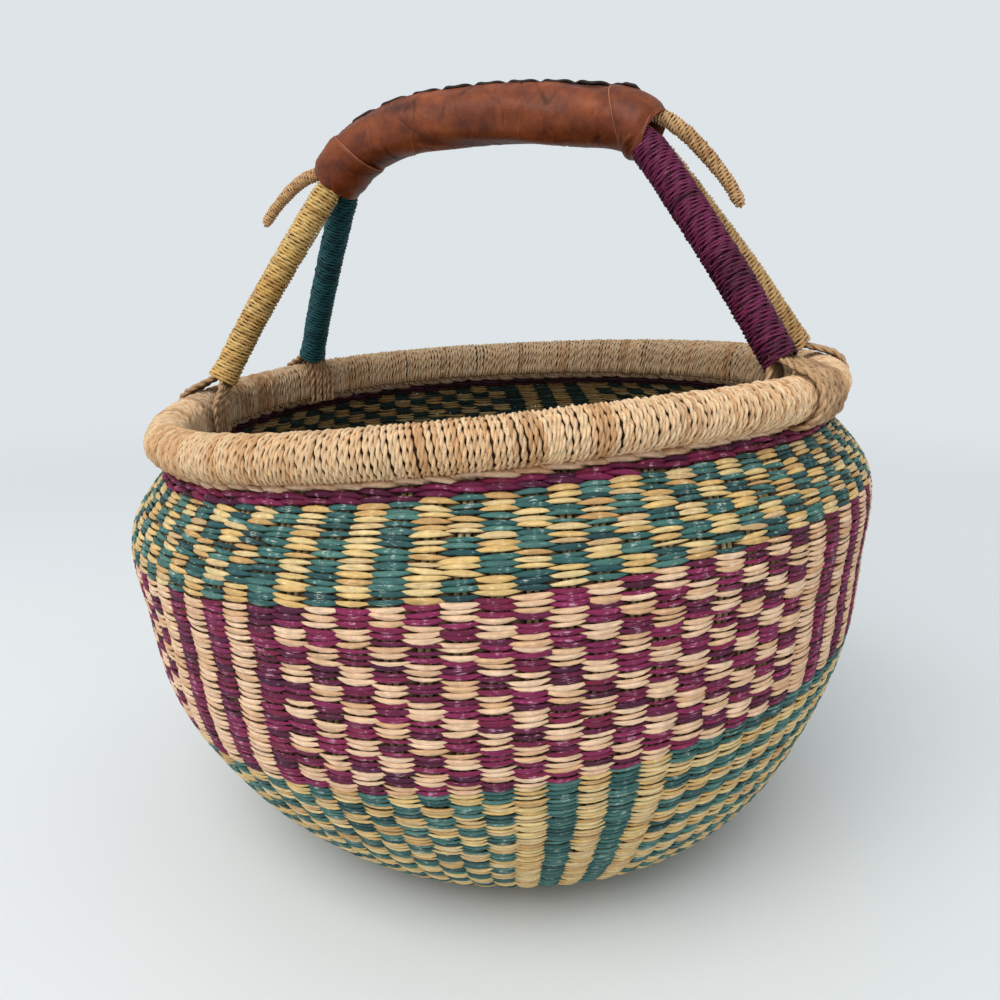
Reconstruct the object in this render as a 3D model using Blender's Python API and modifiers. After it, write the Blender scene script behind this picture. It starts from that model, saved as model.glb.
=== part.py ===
"""A round woven straw basket with a wound rim roll and a leather covered carrying handle.

Metres, +Z up. The origin is the middle of the flat underside that the basket rests on.
The handle's four feet are named as seen from the front, which is the -Y side.
"""
import math

import bmesh
import bpy
from mathutils import Vector

# Wall of the basket
BELLY_RADIUS = 0.1925
WALL_HEIGHT = 0.2253
WALL_THICKNESS = 0.0068
FACE_THICKNESS = 0.0011
BASE_FLAT_RADIUS = 0.062
STAKE_COUNT = 92
STAKE_RADIUS = 0.0011
STAKE_RING_HEIGHT = 0.0026
NATURAL_ROW_HEIGHT = 0.0040
PURPLE_ROW_HEIGHT = 0.0024
TWINED_BULGE = 0.0005
CLEARANCE = 0.0003

# Height and radius of the wall's outer face, in shares of its height and of the belly radius
PROFILE_SHARES = (
    (0.00, 0.343), (0.02, 0.500), (0.06, 0.655), (0.16, 0.786), (0.32, 0.896),
    (0.50, 0.973), (0.68, 0.997), (0.86, 1.000), (1.00, 0.880),
)
LOWER_LEVEL_SHARES = (0.06, 0.16, 0.32, 0.475)
MIDDLE_LEVEL_SHARES = (0.475, 0.65, 0.83)
UPPER_LEVEL_SHARE = 0.91
BASE_LEVEL_SHARES = (0.06, 0.04, 0.02)

# The hand made basket stands a little tilted, and its mouth is not quite round
LEAN = -0.0135
TILT_ALONG_X_SHARE = 0.0763
TILT_ALONG_Y_SHARE = 0.0233
TILT_START_SHARE = 0.55
OVAL_SHARE = 0.0078
OVAL_TURN = math.radians(9)
THREE_LOBE_SHARE = 0.0059
THREE_LOBE_TURN = math.radians(-47)
FOUR_LOBE_SHARE = -0.0048
MOUTH_SAG = -0.0031
MOUTH_SAG_TURN = math.radians(43)
MOUTH_RIPPLE = 0.0010

# Rim roll, whose middle line lies a little outside the wall's top edge
RIM_OVERHANG = 0.0016
RIM_RADIUS = PROFILE_SHARES[-1][1] * BELLY_RADIUS + RIM_OVERHANG
RIM_ROLL_RADIUS = 0.0103
RIM_CORE_RADIUS = 0.0075
RIM_SLIT = 0.0030

# Handle
HANDLE_TURN = math.radians(-23.9)
GRIP_TOP = Vector((-0.0313, 0.0120, 0.3763))
GRIP_REACH = 0.105
GRIP_DROP = 0.0285
# Middle line of the grip: reach from its highest point, and drop, as shares of the two sizes above
GRIP_LINE_SHARES = (
    (-0.765, -0.98), (-0.645, -0.54), (-0.490, -0.26), (-0.285, -0.07), (0.0, 0.0),
    (0.335, -0.03), (0.667, -0.15), (0.870, -0.29), (0.990, -0.55),
)
CORE_RADIUS = 0.0059
CORE_SPREAD_AT_END = 0.0080
LEG_RADIUS = 0.00825
LEG_BOW = 0.0022
LEG_STAND_OFF = 0.0186
WRAP_END_GAP = 0.0055
# How late the bundles spread: a high power keeps them close until the grip's ends
SPREAD_POWER = 4
SLEEVE_RADIUS = 0.0150
SLEEVE_END_RADIUS = 0.0172
SLEEVE_THICKNESS = 0.0017
CUFF_THICKNESS = 0.0012
LEFT_CUFF_SHARE = 0.125
RIGHT_CUFF_SHARE = 0.095
LACING_RADIUS = 0.0013
LACING_SWING = 0.0022
LACING_STITCHES = 9
LACING_TURN = math.radians(5)
LACING_MARGIN_SHARE = 0.02

# Horns: middle lines in shares of the grip's reach and drop, from its highest point
LEFT_HORN_SHARES = ((-0.838, -0.725), (-0.976, -0.885), (-1.075, -1.10), (-1.16, -1.345), (-1.225, -1.575),
                    (-1.262, -1.75))
RIGHT_HORN_SHARES = ((1.036, -0.25), (1.114, -0.43), (1.19, -0.67), (1.28, -1.02), (1.36, -1.38),
                     (1.420, -1.74))
HORN_CORE_RADIUS = 0.0023
HORN_RADIUS = 0.0040
HORN_BUNDLE_RADIUS = 0.0056
HORN_TIP_LENGTH = 0.0035
HORN_ROOT_GAP = 0.0035
# Rounded tip: distance from the tip and radius there, as shares of the horn's radius
HORN_TIP_SHARES = ((0.0, 0.62), (0.35, 0.92), (1.1, 1.0))
HORN_TIP_END_SHARE = 1.6
# Runs of the bundle's line, from each of its ends inside the grip, over which it thickens
HORN_SWELL_RUNS = 2

# Lashings at the feet
ROPE_RADIUS = 0.0021
ROPE_PITCH = 0.0051
ROPE_LOOPS = 5
ROPE_SQUEEZED_RADIUS = 0.0012
ROPE_SQUEEZE_TURN = math.radians(204)
ROPE_PEAK = 0.0010
LEAST_ROPE_GAP = 0.0004
# How far the rope stands off the rim roll beyond the clearance
ROPE_SLACK = 0.00015
LEFT_FRONT_ANGLE = math.radians(171)
LEFT_BACK_ANGLE = math.radians(139)
RIGHT_FRONT_ANGLE = math.radians(321.5)
RIGHT_BACK_ANGLE = math.radians(353.5)

# Fineness of the solids
RING_STEPS = 32
WEB_COUNT = 4
WEB_HALF_ANGLE = math.radians(1.1)
RING_PASSAGE_HALF_ANGLE = math.radians(3)
NOTCH_STEPS = 3
ROLL_SIDES = 8
CORE_SIDES = 8
SLEEVE_SIDES = 12
CORD_SIDES = 6
ROPE_POINTS_PER_LOOP = 12
PATH_STEPS = 2
MERGE_DISTANCE = 0.00002
OVERRUN = 0.002
SLOPE_PROBE_SHARE = 0.001
SHORTEST_STEP_SHARE = 0.2

# Colour, roughness of each straw or leather
COLOURS = {
    "natural": ((0.62, 0.43, 0.24), 0.6),
    "gold": ((0.55, 0.37, 0.13), 0.6),
    "teal": ((0.02, 0.12, 0.11), 0.55),
    "purple": ((0.11, 0.015, 0.055), 0.55),
    "straw_core": ((0.50, 0.36, 0.20), 0.7),
    "leather": ((0.25, 0.08, 0.03), 0.45),
    "dark_leather": ((0.05, 0.02, 0.015), 0.5),
}


def clear_collections():
    for thing in list(bpy.data.objects):
        bpy.data.objects.remove(thing, do_unlink=True)
    parts = bpy.data.collections.new("bolga_basket")
    cutters = bpy.data.collections.new("cutters")
    bpy.context.scene.collection.children.link(parts)
    bpy.context.scene.collection.children.link(cutters)
    return parts, cutters


PARTS, CUTTERS = clear_collections()


def make_materials():
    materials = {}
    for name, (colour, roughness) in COLOURS.items():
        material = bpy.data.materials.new(name)
        material.use_nodes = True
        shader = material.node_tree.nodes["Principled BSDF"]
        shader.inputs["Base Color"].default_value = (*colour, 1.0)
        shader.inputs["Roughness"].default_value = roughness
        shader.inputs["Metallic"].default_value = 0.0
        materials[name] = material
    return materials


MATERIALS = make_materials()


# Shape of the wall

def wall_radius(height):
    """Radius of the wall's outer face at a height, on a smooth curve through the profile."""
    points = [(share * WALL_HEIGHT, size * BELLY_RADIUS) for share, size in PROFILE_SHARES]
    last = len(points) - 2
    index = 0
    while index < last and height > points[index + 1][0]:
        index += 1

    def slope(place):
        low = max(place - 1, 0)
        high = min(place + 1, len(points) - 1)
        return (points[high][1] - points[low][1]) / (points[high][0] - points[low][0])

    low_height, low_radius = points[index]
    high_height, high_radius = points[index + 1]
    span = high_height - low_height
    share = (height - low_height) / span
    cube = share ** 3
    square = share ** 2
    return ((2 * cube - 3 * square + 1) * low_radius + (cube - 2 * square + share) * span * slope(index)
            + (3 * square - 2 * cube) * high_radius + (cube - square) * span * slope(index + 1))


def wall_point(height, depth):
    """Radius and height of the point that lies at a depth behind the wall's outer face."""
    rise = WALL_HEIGHT * SLOPE_PROBE_SHARE
    slope = (wall_radius(height + rise) - wall_radius(height - rise)) / (2 * rise)
    length = math.hypot(1, slope)
    return wall_radius(height) - depth / length, height + depth * slope / length


def smooth_step(share):
    share = min(max(share, 0.0), 1.0)
    return share * share * (3 - 2 * share)


def settle(point):
    """Take a point of the upright, round basket to its place on the leaning, uneven one."""
    share = min(point.z / WALL_HEIGHT, 1.0)
    angle = math.atan2(point.y, point.x)
    late = max(share, 0.0) ** 3
    stretch = 1 + late * (OVAL_SHARE * math.cos(2 * angle - OVAL_TURN)
                          + THREE_LOBE_SHARE * math.cos(3 * angle - THREE_LOBE_TURN)
                          + FOUR_LOBE_SHARE * math.sin(4 * angle))
    x = point.x * stretch + LEAN * share
    y = point.y * stretch
    tilt = smooth_step(share / TILT_START_SHARE) * (TILT_ALONG_X_SHARE * x + TILT_ALONG_Y_SHARE * y)
    ripple = late * (MOUTH_SAG * math.cos(2 * angle - MOUTH_SAG_TURN) + MOUTH_RIPPLE * math.sin(3 * angle))
    return Vector((x, y, point.z + tilt + ripple))


# Making solids

def link(mesh, name, colour):
    part = bpy.data.objects.new(name, mesh)
    PARTS.objects.link(part)
    part.data.materials.clear()
    part.data.materials.append(MATERIALS[colour])
    mesh.shade_smooth()
    mesh.set_sharp_from_angle(angle=math.radians(40))
    return part


def link_cutter(data, name):
    cutter = bpy.data.objects.new(name, data)
    CUTTERS.objects.link(cutter)
    cutter.hide_render = True
    cutter.display_type = 'WIRE'
    return cutter


def cut(part, cutter):
    difference = part.modifiers.new("cut_" + cutter.name, 'BOOLEAN')
    difference.operation = 'DIFFERENCE'
    difference.object = cutter


def evaluated_mesh(thing):
    bpy.context.view_layer.update()
    graph = bpy.context.evaluated_depsgraph_get()
    return bpy.data.meshes.new_from_object(thing.evaluated_get(graph))


def face_outward(solid):
    bmesh.ops.recalc_face_normals(solid, faces=solid.faces)
    if solid.calc_volume(signed=True) < 0:
        bmesh.ops.reverse_faces(solid, faces=solid.faces)


def turned(profile, closed, start=0.0, sweep=math.tau, steps=RING_STEPS):
    """Turn a profile of (radius, height) points about Z, then settle it onto the leaning basket."""
    mesh = bpy.data.meshes.new("profile")
    edges = [(index, index + 1) for index in range(len(profile) - 1)]
    if closed:
        edges.append((len(profile) - 1, 0))
    mesh.from_pydata([(radius, 0, height) for radius, height in profile], edges, [])
    turning = bpy.data.objects.new("turning", mesh)
    PARTS.objects.link(turning)
    screw = turning.modifiers.new("turn", 'SCREW')
    screw.angle = sweep
    screw.steps = steps
    screw.render_steps = steps
    screw.use_merge_vertices = True
    screw.merge_threshold = MERGE_DISTANCE
    result = evaluated_mesh(turning)
    bpy.data.objects.remove(turning, do_unlink=True)
    solid = bmesh.new()
    solid.from_mesh(result)
    bmesh.ops.remove_doubles(solid, verts=solid.verts, dist=MERGE_DISTANCE)
    ends = [edge for edge in solid.edges if edge.is_boundary]
    if ends:
        bmesh.ops.holes_fill(solid, edges=ends, sides=0)
    for vertex in solid.verts:
        angle = math.atan2(vertex.co.y, vertex.co.x) + start
        radius = math.hypot(vertex.co.x, vertex.co.y)
        vertex.co = settle(Vector((radius * math.cos(angle), radius * math.sin(angle), vertex.co.z)))
    face_outward(solid)
    solid.to_mesh(result)
    solid.free()
    return result


def triangle_section(radius):
    """A closed flat curve with three corners, for the section of a thin tube."""
    curve = bpy.data.curves.new("section", 'CURVE')
    corners = curve.splines.new('POLY')
    corners.points.add(2)
    corners.use_cyclic_u = True
    for index, corner in enumerate(corners.points):
        angle = index * math.tau / 3
        corner.co = (radius * math.cos(angle), radius * math.sin(angle), 0, 1.0)
    return link_cutter(curve, "section")


def tube(points, radius, sides, shares=None, section=None):
    """A closed tube along points, with its radius times a share at each."""
    curve = bpy.data.curves.new("route", 'CURVE')
    curve.dimensions = '3D'
    curve.twist_mode = 'Z_UP'
    if section:
        curve.bevel_mode = 'OBJECT'
        curve.bevel_object = section
    else:
        curve.bevel_depth = radius
        curve.bevel_resolution = (sides - 4) // 2
    curve.use_fill_caps = True
    spline = curve.splines.new('POLY')
    spline.points.add(len(points) - 1)
    for index, point in enumerate(points):
        spline.points[index].co = (*point, 1.0)
        spline.points[index].radius = shares[index] if shares else 1.0
    route = bpy.data.objects.new("route", curve)
    PARTS.objects.link(route)
    result = evaluated_mesh(route)
    bpy.data.objects.remove(route, do_unlink=True)
    solid = bmesh.new()
    solid.from_mesh(result)
    bmesh.ops.remove_doubles(solid, verts=solid.verts, dist=MERGE_DISTANCE)
    face_outward(solid)
    solid.to_mesh(result)
    solid.free()
    return result


def around(radius, sides):
    """Radius of a bore with flat sides that clears a round piece of the given radius."""
    return (radius + CLEARANCE) / math.cos(math.pi / sides)


def smooth_path(points, steps=PATH_STEPS):
    """Points on a smooth curve through the given ones."""
    path = []
    ends = [2 * points[0] - points[1]] + list(points) + [2 * points[-1] - points[-2]]
    for index in range(1, len(ends) - 2):
        before, here, there, after = ends[index - 1:index + 3]
        for step in range(steps):
            share = step / steps
            path.append(0.5 * (2 * here + (there - before) * share
                               + (2 * before - 5 * here + 4 * there - after) * share ** 2
                               + (3 * here - before - 3 * there + after) * share ** 3))
    path.append(points[-1].copy())
    return path


def lengths_along(path):
    total = [0.0]
    for before, here in zip(path, path[1:]):
        total.append(total[-1] + (here - before).length)
    return total


def stretch_between(path, start, end):
    """The piece of a path between two distances along it, with exact ends."""
    total = lengths_along(path)

    def at(distance):
        for index in range(len(path) - 1):
            if distance <= total[index + 1]:
                share = (distance - total[index]) / (total[index + 1] - total[index])
                return path[index].lerp(path[index + 1], share)
        return path[-1].copy()

    least = SHORTEST_STEP_SHARE * total[-1] / len(path)
    inner = [point for point, distance in zip(path, total) if start + least < distance < end - least]
    return [at(start)] + inner + [at(end)]


def run_on(path):
    """A path whose two ends run on straight."""
    first = path[0] + (path[0] - path[1]).normalized() * OVERRUN
    last = path[-1] + (path[-1] - path[-2]).normalized() * OVERRUN
    return [first] + path[1:-1] + [last]


# The wall

def lengthened(points, overrun):
    """A row of profile points whose ends run on straight."""
    def beyond(end, inner):
        share = overrun / math.dist(end, inner)
        return tuple(here + (here - there) * share for here, there in zip(end, inner))
    return [beyond(points[0], points[1])] + points[1:-1] + [beyond(points[-1], points[-2])]


def wall_ring(heights, outer_depth, inner_depth, overrun=0.0):
    """Closed profile of a ring of the wall between two depths, from its top down the outer side."""
    outer = lengthened([wall_point(height, outer_depth) for height in reversed(heights)], overrun)
    inner = lengthened([wall_point(height, inner_depth) for height in heights], overrun)
    return outer + inner


def spaced(shares):
    """Heights of a band's levels, held back at both ends by half the clearance."""
    heights = [share * WALL_HEIGHT for share in shares]
    heights[0] += CLEARANCE / 2
    heights[-1] -= CLEARANCE / 2
    return heights


def make_band(name, heights, colour):
    """A woven band: two faces of floats, joined where strands cross between the stakes."""
    band = link(turned(wall_ring(heights, 0, WALL_THICKNESS), True), name, colour)
    slot = wall_ring(heights, FACE_THICKNESS, WALL_THICKNESS - FACE_THICKNESS, OVERRUN)
    quarter = math.tau / WEB_COUNT
    for index in range(WEB_COUNT):
        mesh = turned(slot, True, index * quarter + WEB_HALF_ANGLE, quarter - 2 * WEB_HALF_ANGLE,
                      RING_STEPS // WEB_COUNT)
        cut(band, link_cutter(mesh, f"{name}_stake_space_{index}"))
    return band


def open_for_stake_ring(band, bottom):
    """Passages through the foot of a band's webs, in which the ring of the stakes lies."""
    heights = [bottom - OVERRUN, bottom + STAKE_RING_HEIGHT + 2 * CLEARANCE]
    half_depth = (WALL_THICKNESS / 2 - FACE_THICKNESS + STAKE_RADIUS) / 2
    passage = wall_ring(heights, WALL_THICKNESS / 2 - half_depth, WALL_THICKNESS / 2 + half_depth)
    for index in range(WEB_COUNT):
        start = index * math.tau / WEB_COUNT - RING_PASSAGE_HALF_ANGLE
        mesh = turned(passage, True, start, 2 * RING_PASSAGE_HALF_ANGLE, 2)
        cut(band, link_cutter(mesh, f"ring_passage_{index}"))


def make_base():
    heights = [share * WALL_HEIGHT for share in BASE_LEVEL_SHARES]
    heights[0] -= CLEARANCE / 2
    outer = [wall_point(height, 0) for height in heights]
    inner = [wall_point(height, WALL_THICKNESS) for height in reversed(heights)]
    profile = [(0, WALL_THICKNESS), (BASE_FLAT_RADIUS, WALL_THICKNESS)] + inner + outer
    profile += [(BASE_FLAT_RADIUS, 0), (0, 0)]
    link(turned(profile, False), "base_weave", "gold")


def make_stakes(levels):
    """The stakes stand side by side inside the wall and grow from one ring at the base's edge."""
    solid = bmesh.new()
    section = triangle_section(STAKE_RADIUS)
    for index in range(STAKE_COUNT):
        angle = (index + 0.5) * math.tau / STAKE_COUNT
        points = []
        for height in levels:
            radius, place = wall_point(height, WALL_THICKNESS / 2)
            points.append(settle(Vector((radius * math.cos(angle), radius * math.sin(angle), place))))
        mesh = tube(points, STAKE_RADIUS, 3, section=section)
        solid.from_mesh(mesh)
        bpy.data.meshes.remove(mesh)
    mesh = bpy.data.meshes.new("stake_stems")
    solid.to_mesh(mesh)
    solid.free()
    stems = link_cutter(mesh, "stake_stems")
    ring = [levels[0] - STAKE_RING_HEIGHT / 2, levels[0] + STAKE_RING_HEIGHT / 2]
    depth = WALL_THICKNESS / 2
    cage = link(turned(wall_ring(ring, depth - STAKE_RADIUS, depth + STAKE_RADIUS), True),
                "stakes", "straw_core")
    union = cage.modifiers.new("join_stems", 'BOOLEAN')
    union.operation = 'UNION'
    union.object = stems


def rim_height():
    return WALL_HEIGHT + CLEARANCE + RIM_ROLL_RADIUS


def rim_point(angle, out=0.0, up=0.0):
    """A point beside the rim roll's middle line, on the leaning basket."""
    radius = RIM_RADIUS + out
    return settle(Vector((radius * math.cos(angle), radius * math.sin(angle), rim_height() + up)))


def roll_circle(radius, sides, slit=0.0):
    """Points round the rim roll's middle line, clockwise, from one side of a slit beneath to the other."""
    half_slit = math.asin(slit / 2 / radius)
    first = math.radians(-90) - half_slit
    sweep = math.tau - 2 * half_slit
    count = sides if slit else sides - 1
    return [(RIM_RADIUS + radius * math.cos(first - sweep * index / sides),
             rim_height() + radius * math.sin(first - sweep * index / sides)) for index in range(count + 1)]


def make_rim():
    core = roll_circle(RIM_CORE_RADIUS, CORE_SIDES)
    link(turned(core, True), "rim_core", "straw_core")
    outer = roll_circle(RIM_ROLL_RADIUS, ROLL_SIDES, RIM_SLIT)
    inner = roll_circle(around(RIM_CORE_RADIUS, CORE_SIDES), CORE_SIDES, RIM_SLIT)
    link(turned(outer + inner[::-1], True), "rim_wrap", "natural")


def rope_radius(around_roll):
    """The rope is squeezed thin where it passes between the rim roll and the wall."""
    squeeze = max(0.0, math.cos(around_roll - ROPE_SQUEEZE_TURN)) ** 2
    return ROPE_RADIUS + (ROPE_SQUEEZED_RADIUS - ROPE_RADIUS) * squeeze


def rope_reach(around_roll):
    """Distance of the rope's middle line from the middle of the rim roll."""
    return around(RIM_ROLL_RADIUS + ROPE_SLACK + rope_radius(around_roll), ROPE_POINTS_PER_LOOP)


def make_twined_rows(foot_angles):
    """Twined rows on the wall's top edge, notched where the lashings go round the rim roll."""
    top = WALL_HEIGHT
    row = [top - NATURAL_ROW_HEIGHT, top]
    natural = link(turned(wall_ring(row, -TWINED_BULGE, WALL_THICKNESS), True),
                   "natural_twined_row", "natural")
    deepest = max(rope_reach(turn) + rope_radius(turn) for turn in (ROPE_SQUEEZE_TURN, math.pi))
    floor = rim_height() - deepest - CLEARANCE
    inside = RIM_RADIUS - RIM_ROLL_RADIUS
    outside = RIM_RADIUS + RIM_ROLL_RADIUS
    opening = [(outside, top + OVERRUN), (outside, floor), (inside, floor), (inside, top + OVERRUN)]
    sweep = (ROPE_LOOPS * ROPE_PITCH + 2 * ROPE_RADIUS + 2 * CLEARANCE) / RIM_RADIUS
    for index, angle in enumerate(foot_angles):
        mesh = turned(opening, True, angle - sweep / 2, sweep, NOTCH_STEPS)
        cut(natural, link_cutter(mesh, f"foot_notch_{index}"))
    upper = row[0] - CLEARANCE
    for name in ("upper_purple_row", "lower_purple_row"):
        heights = [upper - PURPLE_ROW_HEIGHT, upper]
        link(turned(wall_ring(heights, -TWINED_BULGE, WALL_THICKNESS), True), name, "purple")
        upper = heights[0] - CLEARANCE
    return upper


# The handle

ALONG = Vector((math.cos(HANDLE_TURN), math.sin(HANDLE_TURN), 0))
ACROSS = Vector((-math.sin(HANDLE_TURN), math.cos(HANDLE_TURN), 0))
UP = Vector((0, 0, 1))


def handle_point(shares, across=0.0, normal=0.0, tangent=None):
    """A point given by shares of the grip's reach and drop, moved sideways and square to the line."""
    point = GRIP_TOP + ALONG * (shares[0] * GRIP_REACH) + UP * (shares[1] * GRIP_DROP) + ACROSS * across
    if tangent:
        point += tangent.cross(ACROSS).normalized() * normal
    return point


def grip_tangents():
    line = [handle_point(shares) for shares in GRIP_LINE_SHARES]
    tangents = []
    for index in range(len(line)):
        before = line[max(index - 1, 0)]
        after = line[min(index + 1, len(line) - 1)]
        tangents.append((after - before).normalized())
    return tangents


def end_share(index):
    """0 in the middle of the grip and 1 at its ends."""
    middle = (len(GRIP_LINE_SHARES) - 1) / 2
    return abs(index - middle) / middle


def bundle_line(side):
    """Middle line of one of the grip's three bundles: side -1 front, 1 back, 0 on top."""
    pack = (2 * CORE_RADIUS + CLEARANCE) / math.sqrt(3)
    half = CORE_RADIUS + CLEARANCE / 2
    points = []
    for index, (shares, tangent) in enumerate(zip(GRIP_LINE_SHARES, grip_tangents())):
        spread = half + (CORE_SPREAD_AT_END - half) * end_share(index) ** SPREAD_POWER
        if side:
            points.append(handle_point(shares, side * spread, -pack / 2, tangent))
        else:
            points.append(handle_point(shares, 0.0, pack, tangent))
    return points


def leg_points(foot_angle, grip_end):
    """Points of a leg from just above the rim roll to its place in the grip, bowed outwards."""
    foot = rim_point(foot_angle)
    direction = (grip_end - foot).normalized()
    outward = Vector((math.cos(foot_angle), math.sin(foot_angle), 0))
    middle = foot.lerp(grip_end, 0.5) + outward * LEG_BOW
    return [foot + direction * LEG_STAND_OFF, middle]


def make_hoop(name, side, left_angle, right_angle):
    """One hoop of the handle: a straw bundle that stands on the rim at both ends."""
    line = bundle_line(side)
    left = leg_points(left_angle, line[0])
    right = leg_points(right_angle, line[-1])
    path = smooth_path(left + line + right[::-1])
    link(tube(path, CORE_RADIUS, CORE_SIDES), name, "straw_core")
    return path, line


def make_leg_wrap(name, path, grip_end, colour, from_right):
    """The straw wound round a leg: a close sleeve round its bundle, from the foot to the cuff."""
    if from_right:
        path = path[::-1]
    total = lengths_along(path)
    nearest = min(range(len(path)), key=lambda index: (path[index] - grip_end).length)
    reach = total[nearest] - WRAP_END_GAP
    route = stretch_between(path, 0, reach)
    wrap = link(tube(route, LEG_RADIUS, CORE_SIDES), name, colour)
    bore = tube(run_on(route), around(CORE_RADIUS, CORE_SIDES), CORE_SIDES)
    cut(wrap, link_cutter(bore, name + "_bore"))


def sleeve_radius(share):
    return SLEEVE_RADIUS + (SLEEVE_END_RADIUS - SLEEVE_RADIUS) * abs(2 * share - 1) ** 3


def hollow_sleeve(name, path, shares, outer_extra, thickness, colour):
    """A leather tube round the grip, whose bore runs past both its ends."""
    radii = [sleeve_radius(share) + outer_extra for share in shares]
    piece = link(tube(path, SLEEVE_RADIUS, SLEEVE_SIDES, [size / SLEEVE_RADIUS for size in radii]),
                 name, colour)
    bore_shares = [(size - thickness) / SLEEVE_RADIUS for size in radii]
    bore = tube(run_on(path), SLEEVE_RADIUS, SLEEVE_SIDES, bore_shares)
    cut(piece, link_cutter(bore, name + "_bore"))


def make_leather():
    path = smooth_path([handle_point(shares) for shares in GRIP_LINE_SHARES], 2)
    total = lengths_along(path)
    shares = [distance / total[-1] for distance in total]
    hollow_sleeve("leather_sleeve", path, shares, 0.0, SLEEVE_THICKNESS, "leather")
    for name, start, end in (("left_cuff", 0.0, LEFT_CUFF_SHARE),
                             ("right_cuff", 1.0 - RIGHT_CUFF_SHARE, 1.0)):
        piece = stretch_between(path, start * total[-1], end * total[-1])
        distances = lengths_along(piece)
        piece_shares = [start + (end - start) * distance / distances[-1] for distance in distances]
        hollow_sleeve(name, piece, piece_shares, CLEARANCE + CUFF_THICKNESS, CUFF_THICKNESS, "leather")
    make_lacing(path, total)


def make_lacing(path, total):
    """A thong that swings from side to side over the sleeve's seam, at the top and back."""
    start = (LEFT_CUFF_SHARE + LACING_MARGIN_SHARE) * total[-1]
    end = (1.0 - RIGHT_CUFF_SHARE - LACING_MARGIN_SHARE) * total[-1]
    points = []
    for index in range(2 * LACING_STITCHES + 1):
        distance = start + (end - start) * index / (2 * LACING_STITCHES)
        here, there = stretch_between(path, distance, distance + OVERRUN)[:2]
        tangent = (there - here).normalized()
        normal = tangent.cross(ACROSS).normalized()
        share = distance / total[-1]
        lift = sleeve_radius(share) + CLEARANCE + LACING_RADIUS
        turn = LACING_TURN + (LACING_SWING / lift) * (1 if index % 2 else -1)
        points.append(here + (normal * math.cos(turn) + ACROSS * math.sin(turn)) * lift)
    link(tube(points, LACING_RADIUS, CORD_SIDES), "sleeve_lacing", "dark_leather")


def make_horns():
    """The third bundle of the grip, whose thin ends stand out and are wound as horns."""
    line = bundle_line(0)
    left = [handle_point(shares) for shares in reversed(LEFT_HORN_SHARES)]
    right = [handle_point(shares) for shares in RIGHT_HORN_SHARES]
    path = smooth_path(left + line[1:-1] + right)
    first = PATH_STEPS * (len(left) - 1)
    last = len(path) - 1 - PATH_STEPS * (len(right) - 1)
    thick = HORN_BUNDLE_RADIUS
    shares = []
    for index in range(len(path)):
        inside = min(index - first, last - index)
        rise = smooth_step(inside / (HORN_SWELL_RUNS * PATH_STEPS))
        shares.append((HORN_CORE_RADIUS + (thick - HORN_CORE_RADIUS) * rise) / thick)
    total = lengths_along(path)
    core_path = stretch_between(path, HORN_TIP_LENGTH, total[-1] - HORN_TIP_LENGTH)
    core_total = lengths_along(core_path)
    core_shares = []
    for distance in core_total:
        nearest = min(range(len(path)), key=lambda index: abs(total[index] - distance - HORN_TIP_LENGTH))
        core_shares.append(shares[nearest])
    link(tube(core_path, thick, CORE_SIDES, core_shares), "horn_core", "straw_core")
    for name, piece in (("left_horn_wrap", path[:first + 1]), ("right_horn_wrap", path[:last - 1:-1])):
        reach = lengths_along(piece)[-1] - HORN_ROOT_GAP
        outer = stretch_between(piece, 0, reach)
        tip = outer[0]
        direction = (outer[1] - outer[0]).normalized()
        rounded = [tip + direction * HORN_RADIUS * along for along, size in HORN_TIP_SHARES]
        straight = [point for point in outer[1:] if (point - tip).length > HORN_RADIUS * HORN_TIP_END_SHARE]
        radii = [size for along, size in HORN_TIP_SHARES] + [1.0] * len(straight)
        wrap = link(tube(rounded + straight, HORN_RADIUS, CORE_SIDES, radii), name, "natural")
        bore = stretch_between(piece, HORN_TIP_LENGTH - CLEARANCE, reach)
        bore[-1] = bore[-1] + (bore[-1] - bore[-2]).normalized() * OVERRUN
        cut(wrap, link_cutter(tube(bore, around(HORN_CORE_RADIUS, CORE_SIDES), CORE_SIDES), name + "_bore"))


# The lashings

def make_lashing(name, foot_angle, grip_end):
    """One rope wound round the rim roll under a foot, its loops peaked towards the leg."""
    foot = rim_point(foot_angle)
    outward = Vector((math.cos(foot_angle), math.sin(foot_angle), 0))
    leg = (grip_end - foot).normalized()
    lean = math.atan2(leg.dot(outward), leg.z)
    points = []
    shares = []
    for step in range(ROPE_LOOPS * ROPE_POINTS_PER_LOOP + 1):
        turns = step / ROPE_POINTS_PER_LOOP
        around_roll = math.tau * turns + lean
        rise = rope_reach(around_roll) + ROPE_PEAK * max(0.0, math.cos(math.tau * turns)) ** 6
        shares.append(rope_radius(around_roll) / ROPE_RADIUS)
        angle = foot_angle + (turns - ROPE_LOOPS / 2) * ROPE_PITCH / RIM_RADIUS
        points.append(rim_point(angle, rise * math.sin(around_roll), rise * math.cos(around_roll)))
    points.insert(0, points[0] + (points[0] - points[1]).normalized() * 2 * ROPE_RADIUS)
    points.append(points[-1] + (points[-1] - points[-2]).normalized() * 2 * ROPE_RADIUS)
    print(name, "least gap to itself", round(least_gap(points), 6))
    link(tube(points, ROPE_RADIUS, CORD_SIDES, [1.0] + shares + [1.0]), name, "natural")


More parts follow.
